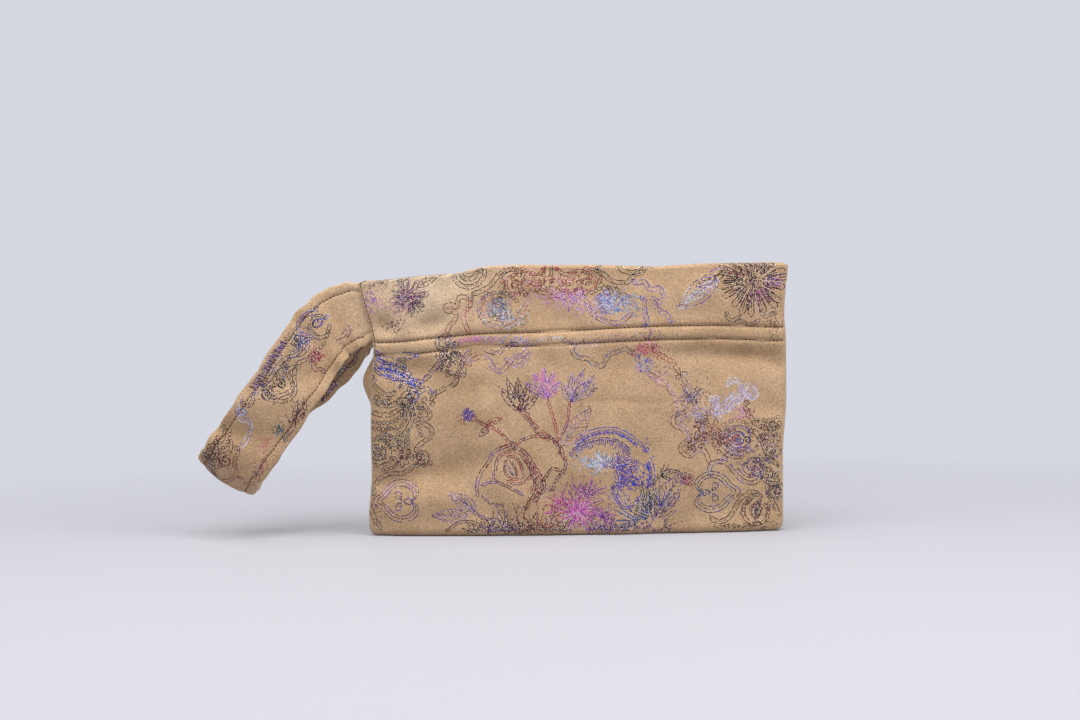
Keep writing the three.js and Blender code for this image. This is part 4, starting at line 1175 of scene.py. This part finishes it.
each(tuft, [
    (22, 41, 34, 12, 40, 130, "violet plum royal"), (14, 44, 26, 10, 140, 100, "sky lavender slate"),
])
each(cloud, [
    (11, 45, 8, 6, 260, "sky lavender blue", 1.7, 60), (1, 47, 6, 6, 90, "lavender sky lilac", 1.5, 70),
    (25, 42, 6, 7, 230, "violet royal plum", 1.7, 40), (31, 32, 9, 4, 200, "royal blue violet", 1.9, 30),
    (40, 47, 4, 11, 190, "royal blue", 1.5, 110), (24, 24, 7, 5, 120, "blue violet lavender", 1.6, 40),
])
rope([(20, 29), (22, 22), (27, 17), (33, 20), (38, 25)], "blue violet", 1.5)
each(tuft, [
    (-2, 15, 46, 15, 90, 170, "magenta violet plum"), (-2, 15, 40, 11, 90, 170, "magenta pink magenta"),
    (-2, 15, 26, 17, 90, 170, "crimson magenta plum"),
    (-12, 18, 30, 11, 130, 100, "crimson magenta maroon"), (3, 24, 26, 13, 70, 60, "violet magenta plum"),
    (13, 10, 26, 10, 60, 90, "plum violet magenta"),
])
each(cloud, [
    (-1, 14, 9, 7, 330, "magenta pink magenta", 1.5, 80), (0, 13, 7, 5, 120, "pink lavender pink", 1.3, 80),
    (-14, 18, 8, 7, 110, "crimson magenta plum", 1.6, 60),
    (-2, 30, 12, 5, 110, "violet magenta plum", 1.8, 75),
    (12, 10, 8, 6, 100, "plum violet magenta", 1.6, 100),
])
each(leaf, [
    ((-64.5, 16), (-81, 27), 9, "violet slate lilac", 8), ((-70, 13), (-92, 13), 8, "plum violet lilac", 8),
])
each(rope, [
    ([(-74, 24), (-66, 15), (-58, 11), (-50, 10)], "violet plum slate", 1.5),
    ([(-84, 3), (-74, 9), (-64, 8), (-56, 3)], "plum umber", 1.5),
])
for x, length, colours in (
    (-66, 10, "umber plum ink"), (-56, 15, "ink violet plum"), (-46, 19, "ink violet umber"),
    (-37, 19, "umber ink maroon"), (-28, 19, "maroon umber crimson"), (-20, 15, "crimson umber plum"),
    (-12, 12, "ink plum"), (8, 12, "plum ink violet"), (17, 11, "violet plum"), (27, 8, "ink plum"),
):
    tuft(x, 2, 14, length, 90, 70, colours)
for x, z, turn, colours in (
    (42, 12, 100, "teal ink blue"), (42, 10, 150, "teal blue ink"), (36, 8, 165, "blue teal royal"),
    (44, 6, 60, "violet plum ink"), (40, 18, 80, "teal ink"), (48, 16, 60, "violet plum blue"),
):
    tuft(x, z, 17, 17, turn, 40, colours)
leaf((46, 13), (62, 38), 13, "violet plum slate", 9)
rope([(44, 32), (50, 38), (55, 39.5), (61, 38), (66, 33)], "ink umber plum", 1.5)
tuft(49, 36, 16, 8, 30, 60, "ink teal umber")
bloom(65, 34, [(7, 0.5, 5, 2.4, 0)], "plum rose ink")
each(cloud, [
    (66, 33, 4, 3, 80, "pink rose plum", 1.2, 50), (44, 5, 14, 4, 300, "ink violet plum", 1.5, 60),
    (-40, 5, 24, 4, 480, "ink umber plum", 1.5, 70), (14, 4, 12, 3, 160, "plum ink violet", 1.4, 70),
])

# Right: scrolled frame with a medallion, a heart and a large scroll at the corner
each(rope, [
    ([(65.5, 75.5), (58.5, 73.5), (57.5, 68), (63.5, 64.5), (69, 59), (63.5, 56.5), (61.5, 52), (67, 48.5),
      (73, 52.5), (77.5, 49.5), (79, 43)], "lilac maroon umber"),
    ([(80, 35.5), (79.5, 42), (84.5, 44.5), (89.5, 43.5), (94.5, 38), (99.5, 32.5), (106, 30.5), (112, 34)],
      "ink plum blue"),
    ([(79, 11), (83, 7.5), (89, 8), (93.5, 12.5), (98, 20.5), (105.5, 25), (112.5, 21.5)], "umber ink"),
    ([(101, 79), (104, 73), (109.5, 66.5), (117, 64), (123, 65)], "umber ink maroon"),
    ([(71.5, 73), (74, 64.5), (76, 55)], "lilac maroon plum"),
    ([(84, 71), (82, 62), (85, 54), (92, 48), (101, 47)], "rose umber plum"),
    ([(107, 64), (112, 56), (116, 47), (122, 41)], "umber ink"),
    ([(118, 38), (115.5, 28), (118, 20), (123, 10)], "ink umber"),
    ([(66, 55), (72, 58), (78, 62)], "maroon umber"),
    ([(86, 46), (92, 49), (99, 52), (106, 50)], "umber plum violet"),
    ([(112, 34), (117, 30), (123, 30)], "ink umber"),
])
each(beads, [
    ([(77.5, 72), (79.5, 64.5), (80.5, 57.5), (85, 50.5)], "maroon umber rose"),
    ([(90, 51), (97, 48.5), (104, 51)], "violet lilac plum"),
    ([(88, 67), (95, 69.5), (103, 67), (106, 60)], "umber maroon rose"),
    ([(110, 70), (116, 69), (122, 71)], "ink umber"), ([(111, 45), (113, 39), (110, 35)], "umber plum"),
    ([(100, 11), (102, 18), (109, 23)], "ink umber"),
])
for ring in (8.5, 4.5):
    rosette(97, 58.5, ring, "violet umber blue")
each(scroll, [
    (106, 41, 8, 200, 1.5, "plum violet umber"), (118, 50, 6.5, 30, -1.5, "umber slate"),
    (118, 66, 4.5, 150, 1.4, "umber ink"), (109, 12.5, 11, 100, 1.7, "umber ink maroon"),
    (121, 25, 5, 250, -1.4, "ink plum"), (88, 58, 3.6, 80, 1.4, "rose umber"),
    (103, 57, 3, 200, -1.4, "umber ink"), (112, 58, 3.4, 30, 1.4, "ink umber"),
    (68, 53, 3, 300, 1.3, "maroon umber"),
])
heart(80.5, 25.5, 14.3, 90, "ink blue teal")
each(lace, [
    (114, 60, 9, 9, 28, "umber slate rose"), (110, 43, 10, 8, 30, "slate umber violet"),
    (88, 60, 9, 8, 30, "rose umber plum"), (110, 13, 9, 8, 22, "umber slate plum"),
    (119, 30, 5, 9, 16, "umber slate"), (74, 64, 6, 10, 20, "lilac maroon plum"),
    (70, 84, 6, 7, 16, "lilac slate plum"), (86, 78, 9, 5, 8, "lavender lilac slate"),
])
each(cloud, [
    (118, 58, 6, 9, 40, "umber slate", 1.3, 40), (110, 11, 9, 7, 80, "ink umber maroon", 1.2, 30),
    (84, 62, 8, 7, 90, "rose lilac umber", 1.2, 50), (100, 52, 10, 6, 60, "umber plum violet", 1.2, 40),
    (112, 41, 9, 7, 60, "umber plum ink", 1.2, 60), (121, 20, 4, 12, 60, "umber slate", 1.2, 80),
    (95, 4, 14, 2, 110, "umber ink", 1.3, 20),
])


def foil_pieces(name, strokes, place_on, inside):
    """Ribbons along the strokes, laid just over the cloth: each stroke is cut at an even step, given its
    width sideways, and the stretches that wear has taken are left out. The colours drift in waves along it,
    and a pale painted highlight follows part of each longer stroke to one side."""
    edges, colours, ties, count = [], [], [], 0
    strokes = [(even(path, FOIL_STEP), *rest) for path, *rest in strokes]
    longer = [path for path, *_ in strokes if len(path) > 5]
    # Painted highlights: a pale line beside each longer stroke.
    strokes += [(path + GLINT_ASIDE * sideways(path), ["glint"], GLINT_WIDTH, GLINT_KEEP) for path in longer]
    for path, names, width, keep in strokes:
        n = len(path)
        aside = sideways(path) * width / 2
        edges.append(np.stack([path + aside, path - aside], axis=1))
        drift = 0.5 + 0.5 * np.sin(0.16 * np.arange(n) + luck.uniform(0, 7) + 0.05 * path.sum(axis=1))
        shades = np.array([linear(*FOIL[c])[:3] for c in names])
        stops = np.linspace(0, 1, len(names))
        tone = np.stack([np.interp(drift, stops, shades[:, i]) for i in range(3)], axis=-1)
        # Dark foil is unevenly dulled, and pale foil hardly.
        dull = mix(luck.uniform(0.25, 1.25, (n, 1)), 1, tone.max(axis=1, keepdims=True))
        colours.append(np.repeat(tone * dull, 2, axis=0))
        k = count + 2 * np.arange(n - 1)
        quad = np.stack([k, k + 1, k + 3, k + 2], axis=-1)
        ties.append(quad[luck.random(n - 1) < keep])
        count += 2 * n
    flat, quads = np.concatenate(edges).reshape(-1, 2), np.concatenate(ties)
    quads = quads[inside(flat)[quads].all(axis=1)]
    used, quads = np.unique(quads, return_inverse=True)
    piece = put_mesh(name, place_on(flat[used]), quads.reshape(-1, 4))
    layer = piece.data.color_attributes.new("foil", "FLOAT_COLOR", "POINT")
    tone = np.concatenate([np.concatenate(colours)[used], np.ones((len(used), 1))], axis=1)
    layer.data.foreach_set("color", tone.astype(np.float32).ravel())
    piece.data.materials.append(foil)
    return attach(piece, "root")


foil, shader, node, link = new_material("worn_foil", Metallic=0.2, Roughness=0.4, Specular_IOR_Level=0.15)
link(node("VertexColor", layer_name="foil"), "Color", shader, "Base Color")


def within_panel(flat):
    """Whether a place is on the panel's face: between its seams, and from the heel to past the mouth."""
    x, v = flat.T
    across = (x > left_edge(v) + PRINT_FROM_SEAM) & (x < right_edge(v) - PRINT_FROM_SEAM)
    above_base = v > corner_lift(x / HALF_WIDTH) + PRINT_FROM_BASE
    return across & above_base & (v < mouth_height(x) + PRINT_PAST_MOUTH)


for side, name in ((FRONT, "front_print"), (BACK, "back_print")):
    turned = [(path * [-side, 1], *rest) for path, *rest in motifs]
    foil_pieces(name, turned, lambda flat: on_panel(side, *flat.T, FOIL_LIFT)[0], within_panel)

# The strap's print
# The same foil on the strap, cut from a scrolled border: bands and scrolls run along it on both faces, since
# the strip is folded with its printed side out.
PRINT_SHARE, SEAM_CLEAR, WAY_POINTS = 0.93, 9, 2001
motifs = []
each(rope, [
    ([(33, 2), (39, -2), (44, 2), (42, 9), (36, 10), (34, 6)], "ink slate blue"),
    ([(46, 4), (52, 8), (58, 5.5), (68, 11.5), (80, 11.5), (88, 13)], "ink blue umber"),
    ([(88, 12), (90, 5), (86, 0.5), (78, -3.5), (71, 4.5), (65, 2.5)], "umber ink plum"),
    ([(99, 20), (107, 18), (112, 12), (110, 6.5), (118, 2), (128, 2)], "lavender violet sky"),
    ([(128, 2), (136, 0), (142, -4.6), (150, -3.4), (155, 2), (153, 8)], "maroon umber rose"),
    ([(94, 15), (100, 12), (104, 15)], "ink blue"),
    ([(132, 18), (138, 12), (146, 11), (153, 15)], "ink umber maroon"),
    ([(55, -3), (61, -8), (58, -12)], "maroon crimson plum"),
    ([(22, -7), (30, -11), (38, -9)], "ink umber pink"),
    ([(80, -13), (87, -18), (95, -14)], "ink maroon plum"),
    ([(84, -10), (90, -13), (98, -17), (106, -16)], "maroon ink plum"),
    ([(134, -16), (140, -18), (146, -14), (143, -9)], "rose maroon plum"),
    ([(35, 13), (41, 16.5), (48, 13), (47, 7), (54, 3), (61, 5.5)], "ink blue violet"),
    ([(58, -1), (65, 2.5), (73, -1), (80, -6), (87, -4), (90, 2)], "umber ink plum"),
    ([(68, 6), (74, 9), (81, 6.5), (86, 9)], "ink slate"),
    ([(122, 17), (129, 14), (134, 16), (140, 19)], "ink maroon umber"),
    ([(126, 10), (132, 6), (138, 9), (144, 6), (150, 9), (156, 6)], "maroon umber ink"),
], 2.2)
for start in np.arange(58, 92, 0.9):
    lean, low, high = luck.normal(1.6, 0.7), luck.normal(14.2, 0.4), luck.normal(19, 0.5)
    stroke([(start, low), (start + lean, high)], "plum violet ink", 0.45, 0.85)
each(beads, [
    ([(49, 6), (58, 8.5), (68, 7.5), (78, 4)], "ink blue slate", 1.0, 2.3),
    ([(122, 13), (130, 10), (139, 13), (148, 16)], "ink maroon", 1.0, 2.3),
])
each(scroll, [
    (38, 8, 4.6, 90, 1.4, "ink violet slate"), (52, 11, 4.4, 20, -1.4, "blue ink teal"),
    (90, 8, 4.6, 200, 1.4, "ink plum"), (139, 5, 5, 100, -1.5, "maroon umber"),
    (147, 16, 4, 30, 1.4, "ink umber"), (108, 13, 3.4, 10, 1.3, "lavender blue"),
    (80, 4, 3.4, 120, 1.4, "umber ink"), (69, 9, 3, 60, -1.4, "ink maroon"),
])
each(beads, [
    ([(37, -1), (44, -4), (50, -3)], "ink umber slate"),
    ([(132, 14), (141, 17), (150, 12)], "umber maroon ink"),
])
bloom(54, -4, [(8, 0.5, 6, 2.6, 0.1)], "crimson maroon plum")
each(cloud, [
    (51, 10, 8, 7, 200, "ink blue slate", 1.2, 50), (69, 17, 13, 3, 120, "plum violet umber", 2.0, 60),
    (84, 9, 8, 6, 130, "umber ink plum", 1.2, 40), (144, 14, 9, 7, 260, "ink umber plum", 1.2, 50),
    (154, 9, 6, 6, 110, "slate lilac", 1.2, 40), (89, -15, 7, 4, 190, "plum ink maroon", 1.4, 60),
    (103, -11, 5, 4, 150, "teal ink sky", 1.4, 30), (116, -8, 5, 4, 100, "pink rose", 1.3, 60),
    (128, -16, 9, 4, 170, "pink maroon rose", 1.4, 60), (27, -8, 6, 4, 60, "pink slate ink", 1.2, 50),
])

run = np.linspace(0, 1, WAY_POINTS)
way = np.concatenate([[0], np.cumsum(np.linalg.norm(np.diff(strap_line(run)[0], axis=0), axis=-1))])


def on_strap(flat, face):
    """A place on the strap's outer or inner face, from millimetres along it and across it."""
    share = np.interp(flat[:, 0], way, run)
    half = strap_frame(share)[2]
    w = (flat[:, 1] / half)[:, None]
    from_edge = (1 - np.abs(w)) * STRAP_WIDTH / 2
    return strap_point(share, w, face * (hem_height(from_edge) + FOIL_LIFT))[:, 0]


def within_strap(flat):
    """Whether a place is between the strap's rounded edges, and clear of the side seam."""
    along, across = flat.T
    half = strap_frame(np.interp(along, way, run))[2]
    return (np.abs(across) < PRINT_SHARE * half) & (along > SEAM_CLEAR) & (along < way[-1] - SEAM_CLEAR)


for face, name in ((1, "strap_print_outside"), (-1, "strap_print_inside")):
    both = []
    for path, *rest in motifs:
        both += [(path * [1, face], *rest), (path * [-1, face] + [way[-1], 0], *rest)]
    foil_pieces(name, both, lambda flat: on_strap(flat, face), within_strap)

# A loop over the two sides, which does nothing.
for side in (FRONT, BACK):
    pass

# The studio
# A pale matt table that fades into a plain lavender-grey backdrop, a broad soft light overhead to the
# left and a weaker one at the upper right.
camera_data = bpy.data.cameras.new("camera")
camera_data.lens = 85
camera_data.sensor_width = 36
camera = bpy.data.objects.new("camera", camera_data)
bpy.context.collection.objects.link(camera)
bpy.context.scene.camera = camera
elevation, distance, roll = math.radians(4), 1.563, math.radians(0.75)
target = np.array([-0.0227, -0.008, 0.1085])
camera.location = target + distance * np.array([0, -math.cos(elevation), math.sin(elevation)])
camera.rotation_euler = (math.radians(90) - elevation, roll, 0)

TABLE_HALF, TABLE_POINTS = 1500, 41
ruled = np.linspace(-TABLE_HALF, TABLE_HALF, TABLE_POINTS)
grid = np.stack([*np.meshgrid(ruled, ruled), np.zeros((TABLE_POINTS, TABLE_POINTS))], axis=-1)
floor = put_mesh("floor", grid.reshape(-1, 3), grid_quads(TABLE_POINTS, TABLE_POINTS))
floor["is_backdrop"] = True
table, shader, node, link = new_material("pale_table", Base_Color=linear(172, 172, 178), Roughness=0.7)
middle = node("Mapping", in_Location=(0, 0.3, 0))
away = node("VectorMath", operation="LENGTH")
fade = node("MapRange", interpolation_type="SMOOTHSTEP", in_From_Min=0.48, in_From_Max=0.8)
clear, both = node("BsdfTransparent"), node("MixShader")
link(node("TexCoord"), "Object", middle, "Vector")
link(middle, "Vector", away, 0)
link(away, "Value", fade, "Value")
link(fade, "Result", both, "Fac")
link(shader, "BSDF", both, 1)
link(clear, "BSDF", both, 2)
link(both, "Shader", table.node_tree.nodes["Material Output"], "Surface")
floor.data.materials.append(table)

world = bpy.data.worlds.new("studio")
bpy.context.scene.world = world
world.use_nodes = True
node, link = node_tools(world.node_tree)
lit = world.node_tree.nodes["Background"]
lit.inputs["Color"].default_value, lit.inputs["Strength"].default_value = linear(240, 240, 244), 0.3
seen = node("Background", in_Color=linear(213, 215, 225), in_Strength=1.0)
rays, both = node("LightPath"), node("MixShader")
mirrored, either = node("Math", operation="MAXIMUM"), node("Math", operation="MAXIMUM")
link(rays, "Is Glossy Ray", mirrored, 0)
link(rays, "Is Transmission Ray", mirrored, 1)
link(rays, "Is Camera Ray", either, 0)
link(mirrored, "Value", either, 1)
link(either, "Value", both, "Fac")
link(lit, "Background", both, 1)
link(seen, "Background", both, 2)
link(both, "Shader", world.node_tree.nodes["World Output"], "Surface")
for name, place, aim, size, power in (
    ("overhead_left", (-0.3, -0.4, 1.4), (0, 0, 0.1), 1.6, 33),
    ("upper_right", (1.1, -0.7, 1.1), (0, 0, 0.08), 1.2, 17),
):
    lamp_data = bpy.data.lights.new(name, "AREA")
    lamp_data.size, lamp_data.energy = size, power
    lamp = bpy.data.objects.new(name, lamp_data)
    bpy.context.collection.objects.link(lamp)
    lamp.location = place
    back = np.array(place) - np.array(aim)
    lamp.rotation_euler = (math.acos(back[2] / np.linalg.norm(back)), 0, math.atan2(back[0], -back[1]))

bpy.context.scene.view_settings.view_transform = "Standard"
low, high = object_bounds()
{"cad": [list(cad_low), list(cad_high)], "visual": [list(low), list(high)]}
